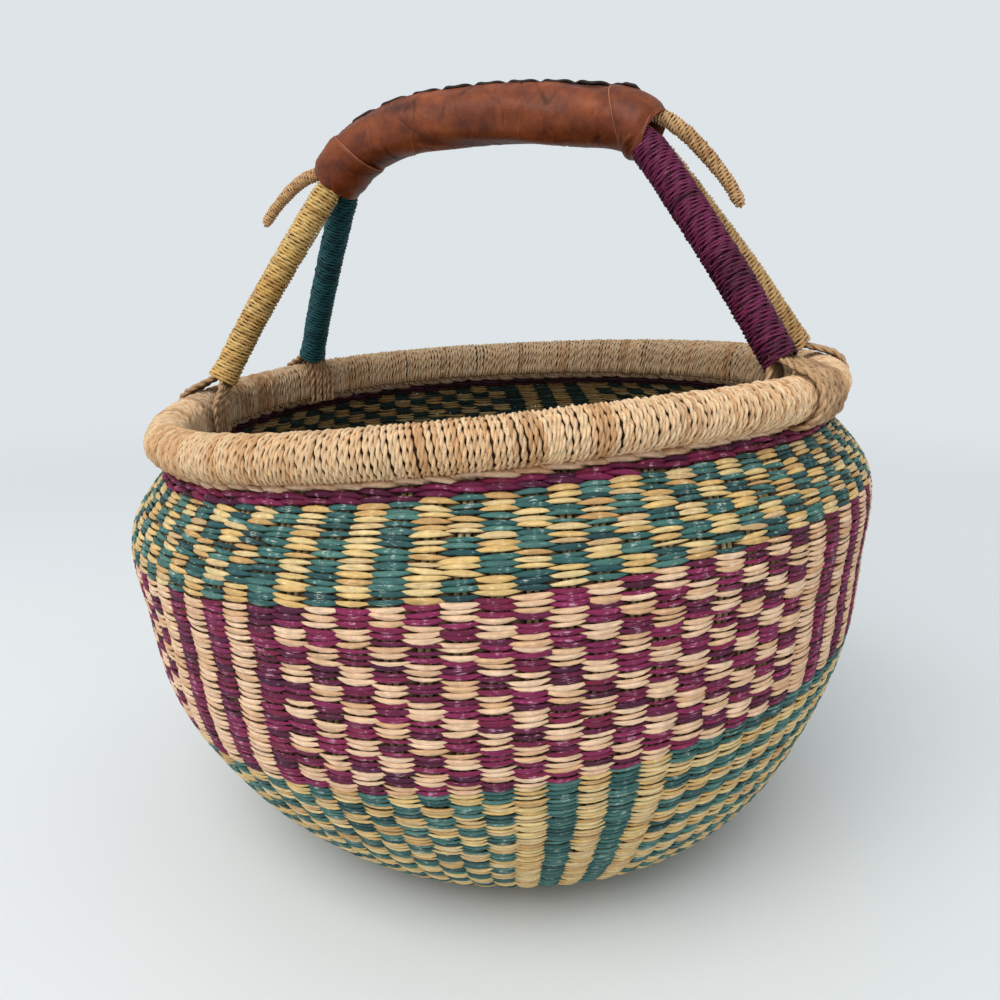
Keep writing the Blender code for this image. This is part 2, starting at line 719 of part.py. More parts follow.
def least_gap(points):
    """Least space between two turns of the rope, measured on points along it."""
    fine = []
    for here, there in zip(points, points[1:]):
        fine += [here.lerp(there, share / 4) for share in range(4)]
    apart = 2 * ROPE_POINTS_PER_LOOP
    least = min((fine[low] - fine[high]).length
                for low in range(len(fine)) for high in range(low + apart, len(fine)))
    gap = least - 2 * ROPE_RADIUS
    if gap < LEAST_ROPE_GAP:
        print("rope turns are closer than", LEAST_ROPE_GAP)
    return gap


def main():
    make_base()
    foot_angles = (LEFT_FRONT_ANGLE, LEFT_BACK_ANGLE, RIGHT_FRONT_ANGLE, RIGHT_BACK_ANGLE)
    wall_top = make_twined_rows(foot_angles)
    lower = spaced(LOWER_LEVEL_SHARES)
    middle = spaced(MIDDLE_LEVEL_SHARES)
    upper = [middle[-1] + CLEARANCE, UPPER_LEVEL_SHARE * WALL_HEIGHT, wall_top]
    lower_band = make_band("lower_band", lower, "teal")
    open_for_stake_ring(lower_band, lower[0])
    make_band("middle_band", middle, "purple")
    make_band("upper_band", upper, "teal")
    ring_height = lower[0] + CLEARANCE + STAKE_RING_HEIGHT / 2
    joints = [LOWER_LEVEL_SHARES[-1] * WALL_HEIGHT, MIDDLE_LEVEL_SHARES[-1] * WALL_HEIGHT]
    make_stakes([ring_height] + lower[1:-1] + joints[:1] + middle[1:-1] + joints[1:] + upper[1:])
    make_rim()
    front_path, front_line = make_hoop("front_hoop_core", -1, LEFT_FRONT_ANGLE, RIGHT_FRONT_ANGLE)
    back_path, back_line = make_hoop("back_hoop_core", 1, LEFT_BACK_ANGLE, RIGHT_BACK_ANGLE)
    make_leg_wrap("left_front_leg_wrap", front_path, front_line[0], "gold", False)
    make_leg_wrap("left_back_leg_wrap", back_path, back_line[0], "teal", False)
    make_leg_wrap("right_front_leg_wrap", front_path, front_line[-1], "purple", True)
    make_leg_wrap("right_back_leg_wrap", back_path, back_line[-1], "natural", True)
    make_leather()
    make_horns()
    make_lashing("left_front_lashing", LEFT_FRONT_ANGLE, front_line[0])
    make_lashing("left_back_lashing", LEFT_BACK_ANGLE, back_line[0])
    make_lashing("right_front_lashing", RIGHT_FRONT_ANGLE, front_line[-1])
    make_lashing("right_back_lashing", RIGHT_BACK_ANGLE, back_line[-1])


main()
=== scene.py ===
"""A round woven straw basket with a wound rim roll and a leather covered carrying handle.

Metres, +Z up. The origin is the middle of the flat underside that the basket rests on.
The handle's four feet are named as seen from the front, which is the -Y side.
"""
import math

import bpy
import numpy as np
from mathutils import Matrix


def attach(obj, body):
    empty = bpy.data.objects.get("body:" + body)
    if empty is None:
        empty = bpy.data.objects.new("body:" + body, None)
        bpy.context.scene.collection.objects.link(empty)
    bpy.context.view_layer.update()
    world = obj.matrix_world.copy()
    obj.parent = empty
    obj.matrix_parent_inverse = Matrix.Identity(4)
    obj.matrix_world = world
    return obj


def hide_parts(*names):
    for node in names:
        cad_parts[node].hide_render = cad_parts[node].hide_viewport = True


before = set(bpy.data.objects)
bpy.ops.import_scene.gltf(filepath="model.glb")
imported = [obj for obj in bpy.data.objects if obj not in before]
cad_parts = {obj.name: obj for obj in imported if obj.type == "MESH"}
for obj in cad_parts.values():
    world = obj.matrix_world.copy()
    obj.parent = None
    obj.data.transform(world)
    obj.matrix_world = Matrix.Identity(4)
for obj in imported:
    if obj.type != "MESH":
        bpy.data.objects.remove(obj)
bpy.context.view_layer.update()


# Wall of the basket, the same sizes as the CAD frame's
BELLY_RADIUS = 0.1925
WALL_HEIGHT = 0.2253
WALL_THICKNESS = 0.0068
STAKE_COUNT = 92
CLEARANCE = 0.0003
PROFILE_SHARES = (
    (0.00, 0.343), (0.02, 0.500), (0.06, 0.655), (0.16, 0.786), (0.32, 0.896),
    (0.50, 0.973), (0.68, 0.997), (0.86, 1.000), (1.00, 0.880),
)
FLAT_RADIUS = 0.058
LEAN = -0.0135
TILT_ALONG_X_SHARE = 0.0763
TILT_ALONG_Y_SHARE = 0.0233
TILT_START_SHARE = 0.55
OVAL_SHARE = 0.0078
OVAL_TURN = math.radians(9)
THREE_LOBE_SHARE = 0.0059
THREE_LOBE_TURN = math.radians(-47)
FOUR_LOBE_SHARE = -0.0048
MOUTH_SAG = -0.0031
MOUTH_SAG_TURN = math.radians(43)
MOUTH_RIPPLE = 0.0010

# Rows of the weave, by their distance from the middle of the base along the wall
ROW_PITCH = 0.0025
BLOCK_ROWS = 3
UPPER_SHARE = 0.832
LOWER_SHARE = 0.4775
BASE_SHARE = 0.06
COLUMN_TURN = 0.43
COLUMN_TURN_REACH = 0.335
COLUMN_DRIFT = 12.2
STRAIGHT_REACH = 0.12
ROW_SHIFT = 0.0146
MOST_SHIFT = 0.018
TOP_ROWS_DEPTH = 0.0080

# Rim roll
RIM_RADIUS = 0.171
RIM_ROLL_RADIUS = 0.0103

# Handle
HANDLE_TURN = math.radians(-23.9)
GRIP_TOP = np.array((-0.0313, 0.0120, 0.3763))
GRIP_REACH = 0.105
GRIP_DROP = 0.0285
GRIP_LINE_SHARES = (
    (-0.765, -0.98), (-0.645, -0.54), (-0.490, -0.26), (-0.285, -0.07), (0.0, 0.0),
    (0.335, -0.03), (0.667, -0.15), (0.870, -0.29), (0.990, -0.55),
)
CORE_RADIUS = 0.0059
CORE_SPREAD_AT_END = 0.0080
LEG_BOW = 0.0022
LEG_STAND_OFF = 0.0186
WRAP_OVERLAP = 0.0040
SPREAD_POWER = 4
SLEEVE_RADIUS = 0.0150
SLEEVE_END_RADIUS = 0.0172
LEFT_CUFF_SHARE = 0.125
RIGHT_CUFF_SHARE = 0.095
LACING_TURN = math.radians(5)
LACING_STITCHES = 9
LACING_SWING = 0.0022
LACING_MARGIN_SHARE = 0.02
# The thong's ends run on over the edges of both cuffs
LACING_REACH = 0.0095
LEFT_HORN_SHARES = ((-0.838, -0.725), (-0.976, -0.885), (-1.075, -1.10), (-1.16, -1.345), (-1.225, -1.575),
                    (-1.262, -1.75))
RIGHT_HORN_SHARES = ((1.036, -0.25), (1.114, -0.43), (1.19, -0.67), (1.28, -1.02), (1.36, -1.38),
                     (1.420, -1.74))
HORN_RADIUS = 0.0040
ROPE_SQUEEZE_TURN = math.radians(204)
LEFT_FRONT_ANGLE = math.radians(171)
LEFT_BACK_ANGLE = math.radians(139)
RIGHT_FRONT_ANGLE = math.radians(321.5)
RIGHT_BACK_ANGLE = math.radians(353.5)


# Camera, as the photograph was taken

CAMERA_PLACE = (-0.0099, -0.4671, 0.2867)
CAMERA_DROP_DEGREES = 13.913
LENS_MILLIMETRES = 30.05
SENSOR_MILLIMETRES = 36


def add_object(name, data):
    made = bpy.data.objects.new(name, data)
    bpy.context.scene.collection.objects.link(made)
    return made


def add_camera():
    camera = add_object("camera", bpy.data.cameras.new("camera"))
    camera.location = CAMERA_PLACE
    camera.rotation_euler = (math.radians(90 - CAMERA_DROP_DEGREES), 0, 0)
    camera.data.lens = LENS_MILLIMETRES
    camera.data.sensor_width = SENSOR_MILLIMETRES
    camera.data.clip_start = 0.01
    bpy.context.scene.camera = camera


add_camera()


# Shape of the wall

def smooth_step(share):
    share = np.clip(share, 0.0, 1.0)
    return share * share * (3 - 2 * share)


PROFILE = np.array(PROFILE_SHARES) * (WALL_HEIGHT, BELLY_RADIUS)


def wall_radius(height):
    """Radius of the wall's outer face at each height, on a smooth curve through the profile."""
    heights, radii = PROFILE.T
    slopes = np.empty(len(heights))
    slopes[1:-1] = (radii[2:] - radii[:-2]) / (heights[2:] - heights[:-2])
    slopes[0] = (radii[1] - radii[0]) / (heights[1] - heights[0])
    slopes[-1] = (radii[-1] - radii[-2]) / (heights[-1] - heights[-2])
    low = np.clip(np.searchsorted(heights, height) - 1, 0, len(heights) - 2)
    span = heights[low + 1] - heights[low]
    share = (height - heights[low]) / span
    square = share ** 2
    cube = share ** 3
    return ((2 * cube - 3 * square + 1) * radii[low] + (cube - 2 * square + share) * span * slopes[low]
            + (3 * square - 2 * cube) * radii[low + 1] + (cube - square) * span * slopes[low + 1])


FLAT_STEPS = 30
HEIGHT_STEPS = 1200


def surface_table():
    """Distance along the wall from the middle of the base, radius, height and inward direction."""
    heights = np.linspace(0, WALL_HEIGHT, HEIGHT_STEPS)
    rise = WALL_HEIGHT * 0.001
    slopes = (wall_radius(heights + rise) - wall_radius(heights - rise)) / (2 * rise)
    length = np.hypot(1, slopes)
    radius = np.concatenate([np.linspace(0, FLAT_RADIUS, FLAT_STEPS), wall_radius(heights)])
    height = np.concatenate([np.zeros(FLAT_STEPS), heights])
    inward = np.concatenate([np.zeros(FLAT_STEPS), -1 / length])
    upward = np.concatenate([np.ones(FLAT_STEPS), slopes / length])
    steps = np.hypot(np.diff(radius), np.diff(height))
    return np.concatenate([[0], np.cumsum(steps)]), radius, height, inward, upward


ARC, ARC_RADIUS, ARC_HEIGHT, ARC_INWARD, ARC_UPWARD = surface_table()
TOP_REACH = ARC[-1]
LOWER_REACH, UPPER_REACH, BASE_REACH = (
    float(np.interp(share * WALL_HEIGHT, ARC_HEIGHT[FLAT_STEPS:], ARC[FLAT_STEPS:]))
    for share in (LOWER_SHARE, UPPER_SHARE, BASE_SHARE))


def settle(points):
    """Take points of the upright, round basket to their places on the leaning, uneven one."""
    x, y, z = np.moveaxis(points, -1, 0)
    share = np.minimum(z / WALL_HEIGHT, 1.0)
    angle = np.arctan2(y, x)
    late = np.maximum(share, 0.0) ** 3
    stretch = 1 + late * (OVAL_SHARE * np.cos(2 * angle - OVAL_TURN)
                          + THREE_LOBE_SHARE * np.cos(3 * angle - THREE_LOBE_TURN)
                          + FOUR_LOBE_SHARE * np.sin(4 * angle))
    x = x * stretch + LEAN * share
    y = y * stretch
    tilt = smooth_step(share / TILT_START_SHARE) * (TILT_ALONG_X_SHARE * x + TILT_ALONG_Y_SHARE * y)
    ripple = late * (MOUTH_SAG * np.cos(2 * angle - MOUTH_SAG_TURN) + MOUTH_RIPPLE * np.sin(3 * angle))
    return np.stack([x, y, z + tilt + ripple], axis=-1)


def weave_point(turn, reach, depth):
    """Point at a turn round the weave's own middle, a reach along the wall, and a depth behind its face."""
    fall = (TOP_REACH - reach) / (TOP_REACH - LOWER_REACH)
    shift = np.minimum(ROW_SHIFT * fall, MOST_SHIFT)
    drift = COLUMN_TURN - COLUMN_DRIFT * (COLUMN_TURN_REACH - np.maximum(reach, STRAIGHT_REACH))
    turn = turn + drift * math.tau / STAKE_COUNT
    x = reach * np.cos(turn) + shift
    y = reach * np.sin(turn)
    arc = np.hypot(x, y)
    angle = np.arctan2(y, x)
    radius = np.interp(arc, ARC, ARC_RADIUS) + depth * np.interp(arc, ARC, ARC_INWARD)
    height = np.interp(arc, ARC, ARC_HEIGHT) + depth * np.interp(arc, ARC, ARC_UPWARD)
    return settle(np.stack([radius * np.cos(angle), radius * np.sin(angle), height], axis=-1))


RIM_HEIGHT = WALL_HEIGHT + CLEARANCE + RIM_ROLL_RADIUS


def together(*values):
    """Values that broadcast to one shape, side by side on a last axis."""
    return np.stack(np.broadcast_arrays(*values), axis=-1)


def rim_point(angle, out=0.0, up=0.0):
    radius = RIM_RADIUS + out
    return settle(together(radius * np.cos(angle), radius * np.sin(angle),
                           RIM_HEIGHT + up + np.zeros(np.shape(angle))))


def around_rim(angle, around, reach):
    """Points round the rim roll, and their directions away from its middle line."""
    points = rim_point(angle, reach * np.sin(around), reach * np.cos(around))
    return points, unit(points - rim_point(angle))


# Making meshes

ROOT = "root"


def unit(vectors):
    return vectors / np.maximum(np.linalg.norm(vectors, axis=-1, keepdims=True), 1e-12)


def ring_quads(rings, sides, closed=False):
    """Quads that join each ring of points to the next, and the last to the first where closed."""
    ring = np.arange(rings if closed else rings - 1)[:, None]
    following = (ring + 1) % rings
    side = np.arange(sides)[None, :]
    after = (side + 1) % sides
    return np.stack([ring * sides + side, ring * sides + after,
                     following * sides + after, following * sides + side], axis=-1).reshape(-1, 4)


def strand_part(grid, poles, fibre, crown):
    """Closed tubes from a grid (strand, ring, side) of points and two end points each."""
    count, rings, sides = grid.shape[:3]
    side = np.arange(sides)
    after = (side + 1) % sides
    pole = np.full(sides, rings * sides)
    end = (rings - 1) * sides
    caps = np.concatenate([np.stack([pole, after, side], axis=-1),
                           np.stack([pole + 1, end + side, end + after], axis=-1)])
    offsets = (np.arange(count) * (rings * sides + 2))[:, None, None]
    quads = (ring_quads(rings, sides)[None] + offsets).reshape(-1, 4)
    triangles = (caps[None] + offsets).reshape(-1, 3)

    def with_ends(values, ends=None):
        """Values of each strand's rings, then of its two ends, which take the end rings' means."""
        if ends is None:
            ends = np.stack([values[:, 0].mean(axis=1), values[:, -1].mean(axis=1)], axis=1)
        tail = values.shape[3:]
        return np.concatenate([values.reshape(count, -1, *tail), ends], axis=1).reshape(-1, *tail)

    return with_ends(grid, poles), quads, triangles, with_ends(fibre), with_ends(crown)


def join_parts(parts):
    offset = 0
    columns = [[], [], [], [], []]
    for vertices, quads, triangles, fibres, crowns in parts:
        for column, value in zip(columns, (vertices, quads + offset, triangles + offset, fibres, crowns)):
            column.append(value)
        offset += len(vertices)
    return [np.concatenate(column) for column in columns]


def signed_volume(vertices, quads, triangles):
    corners = np.concatenate([quads[:, [0, 1, 2]], quads[:, [0, 2, 3]], triangles])
    one, two, three = (vertices[corners[:, index]] for index in range(3))
    return float(np.einsum("ij,ij->i", one, np.cross(two, three)).sum())


def make_piece(name, parts, finish, slot, *nodes):
    """One object from parts of (vertices, quads, triangles, fibre, crown)."""
    vertices, quads, triangles, fibres, crowns = join_parts(parts)
    if signed_volume(vertices, quads, triangles) < 0:
        quads = quads[:, ::-1]
        triangles = triangles[:, ::-1]
    mesh = bpy.data.meshes.new(name)
    mesh.vertices.add(len(vertices))
    mesh.vertices.foreach_set("co", vertices.astype(np.float32).ravel())
    loops = np.concatenate([quads.ravel(), triangles.ravel()]).astype(np.int32)
    mesh.loops.add(len(loops))
    mesh.loops.foreach_set("vertex_index", loops)
    starts = np.concatenate([np.arange(len(quads)) * 4, len(quads) * 4 + np.arange(len(triangles)) * 3])
    mesh.polygons.add(len(starts))
    mesh.polygons.foreach_set("loop_start", starts.astype(np.int32))
    mesh.update(calc_edges=True)
    mesh.validate()
    mesh.shade_smooth()
    for label, kind, field, values in (("fibre", 'FLOAT_VECTOR', "vector", fibres),
                                       ("crown", 'FLOAT', "value", crowns)):
        attribute = mesh.attributes.new(label, kind, 'POINT')
        attribute.data.foreach_set(field, values.astype(np.float32).ravel())
    mesh.materials.append(MATERIALS[finish])
    piece = add_object(name, mesh)
    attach(piece, ROOT)
    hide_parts(*nodes)


# Materials

def linear(colour):
    """A colour of the screen, 0 to 255, as the light it stands for."""
    shares = [value / 255 for value in colour]
    return tuple(value / 12.92 if value <= 0.04045 else ((value + 0.055) / 1.055) ** 2.4
                 for value in shares) + (1.0,)


class Nodes:
    """Short names for building a material's nodes."""

    def __init__(self, name):
        self.material = bpy.data.materials.new(name)
        self.material.use_nodes = True
        self.tree = self.material.node_tree
        self.shader = self.tree.nodes["Principled BSDF"]

    def put(self, socket, value):
        if isinstance(value, bpy.types.NodeSocket):
            self.tree.links.new(value, socket)
        else:
            socket.default_value = value

    def add(self, kind, output, **inputs):
        """One output of a new node whose inputs are linked or set."""
        node = self.tree.nodes.new("ShaderNode" + kind)
        for name, value in inputs.items():
            self.put(node.inputs[name], value)
        return node.outputs[output]

    def attribute(self, name, output):
        node = self.tree.nodes.new("ShaderNodeAttribute")
        node.attribute_type = 'GEOMETRY'
        node.attribute_name = name
        return node.outputs[output]

    def scaled(self, vector, scale, offset):
        return self.add("Mapping", "Vector", Vector=vector, Scale=scale, Location=offset)

    def noise(self, vector, scale, detail, roughness):
        return self.add("TexNoise", "Fac", Vector=vector, Scale=scale, Detail=detail, Roughness=roughness)

    def bump(self, height, distance, strength):
        return self.add("Bump", "Normal", Height=height, Distance=distance, Strength=strength)

    def part(self, vector, index):
        return self.add("SeparateXYZ", index, Vector=vector)

    def ramp(self, factor, stops, smooth=False):
        node = self.tree.nodes.new("ShaderNodeValToRGB")
        ramp = node.color_ramp
        if smooth:
            ramp.interpolation = 'EASE'
        while len(ramp.elements) < len(stops):
            ramp.elements.new(0.5)
        for element, (place, colour) in zip(ramp.elements, stops):
            element.position = place
            element.color = colour if isinstance(colour, tuple) else (colour, colour, colour, 1.0)
        self.put(node.inputs["Fac"], factor)
        return node.outputs["Color"]

    def math(self, operation, first, second, clamp=False):
        node = self.tree.nodes.new("ShaderNodeMath")
        node.operation = operation
        node.use_clamp = clamp
        self.put(node.inputs[0], first)
        self.put(node.inputs[1], second)
        return node.outputs[0]

    def times(self, first, second, clamp=False):
        return self.math('MULTIPLY', first, second, clamp)

    def mix(self, factor, first, second, blend='MIX'):
        node = self.tree.nodes.new("ShaderNodeMix")
        node.data_type = 'RGBA'
        node.blend_type = blend
        for index, value in ((0, factor), (6, first), (7, second)):
            self.put(node.inputs[index], value)
        return node.outputs[2]

    def toned(self, colour, factor, stops, smooth=False):
        """A colour made darker or lighter by a ramp of greys."""
        return self.mix(1.0, colour, self.ramp(factor, stops, smooth), 'MULTIPLY')

    def finish(self, colour, roughness, normal):
        for name, source in (("Base Color", colour), ("Roughness", roughness), ("Normal", normal)):
            self.put(self.shader.inputs[name], source)
        return self.material


def straw_material(name, tones, worn, worn_share, painted_tip_shade, roughness, streak):
    """Twisted or split grass: long fibres, tone that changes from strand to strand, worn crowns, and painted
    shade at the tips and between the plies.
    """
    nodes = Nodes(name)
    fibre = nodes.attribute("fibre", "Vector")
    crown = nodes.attribute("crown", "Fac")

    def grain(scale, detail, rough, offset=(0.0, 0.0, 0.0)):
        return nodes.noise(nodes.scaled(fibre, scale, offset), 1.0, detail, rough)

    long_grain = grain((0.10, 9.0, 37.0), 4.0, 0.6)
    fine_grain = grain((0.35, 30.0, 53.0), 3.0, 0.6)
    patches = grain((0.16, 0.8, 91.0), 2.0, 0.5)
    worn_patches = grain((0.22, 1.6, 71.0), 2.0, 0.5, (3.1, 1.7, 5.3))
    stops = [(index / (len(tones) - 1), linear(tone)) for index, tone in enumerate(tones)]
    colour = nodes.ramp(nodes.part(fibre, 2), stops)
    colour = nodes.toned(colour, long_grain, [(0.28, 1.0 - streak), (0.5, 0.95), (0.72, 1.0 + streak * 0.45)])
    colour = nodes.toned(colour, patches, [(0.3, 0.84), (0.7, 1.08)])
    # Painted shade: the colour is darkened where the crown value falls, towards the floats' tips and on the
    # sides of plies that face into the gaps.
    colour = nodes.toned(colour, crown, [(0.0, painted_tip_shade), (0.45, 1.0)], True)
    glint = nodes.times(nodes.times(nodes.times(fine_grain, long_grain), crown), worn_patches)
    wear = nodes.ramp(glint, [(0.175 - worn_share * 0.1, 0.0), (0.235 - worn_share * 0.1, 1.0)], True)
    wear = nodes.times(nodes.part(wear, 0), min(worn_share * 2.0, 1.0), True)
    colour = nodes.mix(wear, colour, linear(worn))
    rough = nodes.ramp(fine_grain, [(0.3, roughness - 0.10), (0.7, roughness + 0.14)])
    nodes.shader.inputs["Specular IOR Level"].default_value = 0.30
    relief = nodes.math('ADD', nodes.times(long_grain, 0.7), nodes.times(fine_grain, 0.3))
    return nodes.finish(colour, rough, nodes.bump(relief, 0.00045, 0.8))


def solid_straw_material(name, tone, dark):
    """Bundled straw of the cores, seen only in gaps."""
    nodes = Nodes(name)
    place = nodes.add("TexCoord", "Object")
    stalks = nodes.noise(place, 900.0, 3.0, 0.6)
    patches = nodes.noise(place, 60.0, 2.0, 0.5)
    colour = nodes.ramp(stalks, [(0.3, linear(dark)), (0.65, linear(tone))])
    colour = nodes.toned(colour, patches, [(0.3, 0.8), (0.7, 1.05)])
    rough = nodes.ramp(stalks, [(0.2, 0.5), (0.8, 0.75)])
    return nodes.finish(colour, rough, nodes.bump(stalks, 0.0006, 0.9))


def leather_material(name, light, middle, dark, edge, roughness):
    """Brown goat leather: pebbled grain, blotches, painted light on its raised folds, painted shade in its
    creases, and a pale worn colour at its cut edges.
    """
    nodes = Nodes(name)
    fibre = nodes.attribute("fibre", "Vector")
    relief = nodes.attribute("crown", "Fac")
    blotches = nodes.noise(fibre, 0.075, 4.0, 0.62)
    clouds = nodes.noise(fibre, 0.02, 2.0, 0.5)
    grain = nodes.noise(fibre, 1.6, 5.0, 0.65)
    pores = nodes.add("TexVoronoi", "Distance", Vector=fibre, Scale=1.25)
    colour = nodes.ramp(blotches, [(0.30, linear(dark)), (0.47, linear(middle)), (0.68, linear(light))])
    colour = nodes.toned(colour, clouds, [(0.3, 0.86), (0.7, 1.1)])
    colour = nodes.toned(colour, grain, [(0.25, 0.86), (0.7, 1.06)])
    # Painted light and shade from the relief value: creases darker, raised folds lighter
    colour = nodes.toned(colour, relief, [(0.0, 0.42), (0.42, 0.93), (0.6, 1.0), (1.0, 1.35)])
    worn = nodes.ramp(relief, [(0.90, 0.0), (0.99, 1.0)])
    colour = nodes.mix(nodes.part(worn, 0), colour, linear(edge))
    rough = nodes.ramp(grain, [(0.3, roughness - 0.08), (0.7, roughness + 0.16)])
    nodes.shader.inputs["Specular IOR Level"].default_value = 0.28
    height = nodes.math('ADD', nodes.times(pores, -0.5), grain)
    return nodes.finish(colour, rough, nodes.bump(height, 0.00022, 0.6))


NATURAL_TONES = ((222, 174, 130), (238, 197, 158), (246, 210, 176), (230, 186, 150))
GOLD_TONES = ((202, 158, 102), (228, 190, 120), (234, 208, 150), (212, 176, 128))
TEAL_TONES = ((34, 66, 70), (56, 106, 101), (84, 130, 121), (34, 78, 83))
RIM_TONES = ((216, 166, 116), (244, 202, 154), (250, 218, 176), (206, 156, 108))
PURPLE_TONES = ((72, 18, 44), (140, 38, 86), (124, 28, 64), (76, 22, 56))


def painted_shade_tones(tones, share):
    """The same dyes drawn darker as painted shade, for the straw inside the basket and at the back of the
    rim.
    """
    return tuple(tuple(value * share for value in tone) for tone in tones)


# Of each straw: its tones, worn tone, share worn, painted shade at the tips and between plies, roughness and
# streak
STRAWS = {
    "natural": (NATURAL_TONES, (252, 236, 216), 0.30, 0.60, 0.60, 0.35),
    "gold": (GOLD_TONES, (250, 232, 192), 0.32, 0.64, 0.52, 0.35),
    "teal": (TEAL_TONES, (206, 220, 208), 0.36, 0.56, 0.62, 0.35),
    "purple": (PURPLE_TONES, (224, 176, 198), 0.34, 0.56, 0.62, 0.35),
    # Inner straws: darker copies of the dyes, as painted shade inside the basket
    "inner_natural": (painted_shade_tones(NATURAL_TONES, 0.66), (190, 170, 140), 0.1, 0.5, 0.6, 0.35),
    "inner_gold": (painted_shade_tones(GOLD_TONES, 0.84), (180, 150, 100), 0.1, 0.5, 0.6, 0.35),
    "inner_teal": (painted_shade_tones(TEAL_TONES, 0.62), (100, 130, 125), 0.1, 0.5, 0.6, 0.35),
    "inner_purple": (painted_shade_tones(PURPLE_TONES, 0.50), (120, 80, 100), 0.1, 0.5, 0.6, 0.35),
    "rim": (RIM_TONES, (252, 236, 210), 0.25, 0.28, 0.55, 0.38),
    # The back of the rim: a darker copy, as painted shade, with deeper painted shade between the plies
    "shade_painted_back_rim": (painted_shade_tones(RIM_TONES, 0.86), (236, 208, 170), 0.2, 0.16, 0.55, 0.38),
    "rope": (((190, 152, 112), (212, 174, 132), (200, 162, 122), (172, 136, 100)),
             (244, 222, 188), 0.2, 0.34, 0.55, 0.42),
    "horn": (((204, 156, 104), (220, 174, 122), (226, 184, 132), (190, 142, 96)),
             (240, 214, 170), 0.2, 0.45, 0.5, 0.38),
    "gold_leg": (((214, 166, 92), (234, 190, 112), (242, 206, 134), (198, 150, 82)),
                 (246, 226, 170), 0.25, 0.32, 0.42, 0.40),
    "teal_leg": (((12, 58, 68), (24, 84, 92), (38, 102, 108), (10, 48, 58)),
                 (126, 166, 162), 0.2, 0.24, 0.42, 0.38),
    "purple_leg": (((90, 24, 56), (126, 40, 84), (106, 30, 68), (72, 20, 46)),
                   (212, 158, 186), 0.24, 0.30, 0.40, 0.38),
    "natural_leg": (((200, 158, 100), (220, 182, 124), (212, 170, 112), (184, 142, 88)),
                    (242, 218, 168), 0.22, 0.45, 0.42, 0.38),
    "stake": (((190, 162, 116), (206, 182, 138), (196, 170, 126)), (226, 210, 180), 0.2, 1.0, 0.5, 0.35),
    # Dark brown: painted shade of the straws deep between the stakes
    "shade_dark_crossing": (((120, 92, 60), (92, 70, 46), (104, 84, 58)), (150, 124, 90), 0.1, 0.8, 0.6, 0.35),
}
MATERIALS = {name: straw_material(name + "_straw", *looks) for name, looks in STRAWS.items()}
MATERIALS["core"] = solid_straw_material("straw_core", (104, 76, 48), (54, 36, 22))
MATERIALS["leather"] = leather_material("brown_leather", (140, 70, 32), (114, 52, 23), (82, 37, 18),
                                        (200, 140, 94), 0.42)
MATERIALS["thong"] = leather_material("dark_leather_thong", (56, 38, 32), (42, 28, 24), (26, 18, 16),
                                      (84, 60, 48), 0.5)


# Floats of the weave, with stations along each as shares of its half length

OUTER_STATIONS = np.array((-0.92, -0.72, -0.38, 0.0, 0.38, 0.72, 0.92))
INNER_STATIONS = np.array((-0.85, -0.45, 0.0, 0.45, 0.85))
INNER_SIDES = 6
INNER_WIDTH = 1.06
FLOAT_WIDTH = 1.03
TIP_DEPTH = 0.0030
SLIM_SHARE = 0.08
SLIM_WIDTH = 0.68


def float_part(turn, reach, columns, row_pitch, outer, rng, length=0.77, thick=0.00064, crown_depth=0.0006,
               slant=0.27, sag=0.0, outer_sides=7):
    """Short visible lengths of straw, each over one stake, with tips that dive between the stakes."""
    count = len(turn)

    def jitter(size):
        return rng.normal(0, size, count)

    def from_face(depth):
        return depth if outer else WALL_THICKNESS - depth

    pitch = math.tau / columns
    middle_turn = turn + jitter(0.03) * pitch
    middle_reach = reach + jitter(0.07) * row_pitch
    half_length = length * pitch * (1 + jitter(0.06))
    half_width = 0.5 * row_pitch * FLOAT_WIDTH * (1 + jitter(0.11))
    half_width = half_width * np.where(rng.random(count) < SLIM_SHARE, SLIM_WIDTH, 1.0)
    half_width = half_width * (1.0 if outer else INNER_WIDTH)
    half_thick = thick * (1 + jitter(0.08))
    lean = slant * row_pitch * (1 + jitter(0.55)) * (-1 if outer else 1)
    bow = (jitter(0.10) - (sag if outer else -sag)) * row_pitch
    crown = crown_depth + np.abs(jitter(0.00012))
    strand = rng.random(count)

    def line(share):
        """Turn, reach and depth of the middle line at a share from -1 to 1 of the float."""
        return (middle_turn[:, None] + half_length[:, None] * share,
                middle_reach[:, None] + lean[:, None] * share + bow[:, None] * (1 - share ** 2),
                crown[:, None] + (TIP_DEPTH - crown)[:, None] * np.abs(share) ** 2.3)

    share = (OUTER_STATIONS if outer else INNER_STATIONS)[None, :]
    line_turn, line_reach, line_depth = line(share)
    size = (1 - np.abs(share) ** 1.85) ** 0.95
    sides = outer_sides if outer else INNER_SIDES
    angle = np.arange(sides) * math.tau / sides
    wide = (half_width[:, None] * size)[..., None] * np.cos(angle)
    deep = (half_thick[:, None] * size ** 0.5)[..., None] * np.sin(angle)
    grid = weave_point(line_turn[..., None], line_reach[..., None] + wide,
                       from_face(line_depth[..., None] - deep))
    end_turn, end_reach, end_depth = line(np.array((-1.0, 1.0))[None, :])
    poles = weave_point(end_turn, end_reach, from_face(end_depth))
    along = share * half_length[:, None] * np.maximum(reach, 0.01)[:, None] * 1000
    fibre = together(along[..., None], angle / math.tau, strand[:, None, None])
    # Crown value: 1 at the float's middle, 0 at its tips; the straw material paints shade towards the tips
    # from it and puts wear on the crowns.
    crowns = np.broadcast_to((1 - np.abs(share) ** 1.6)[..., None], grid.shape[:3])
    return strand_part(grid, poles, fibre, crowns)


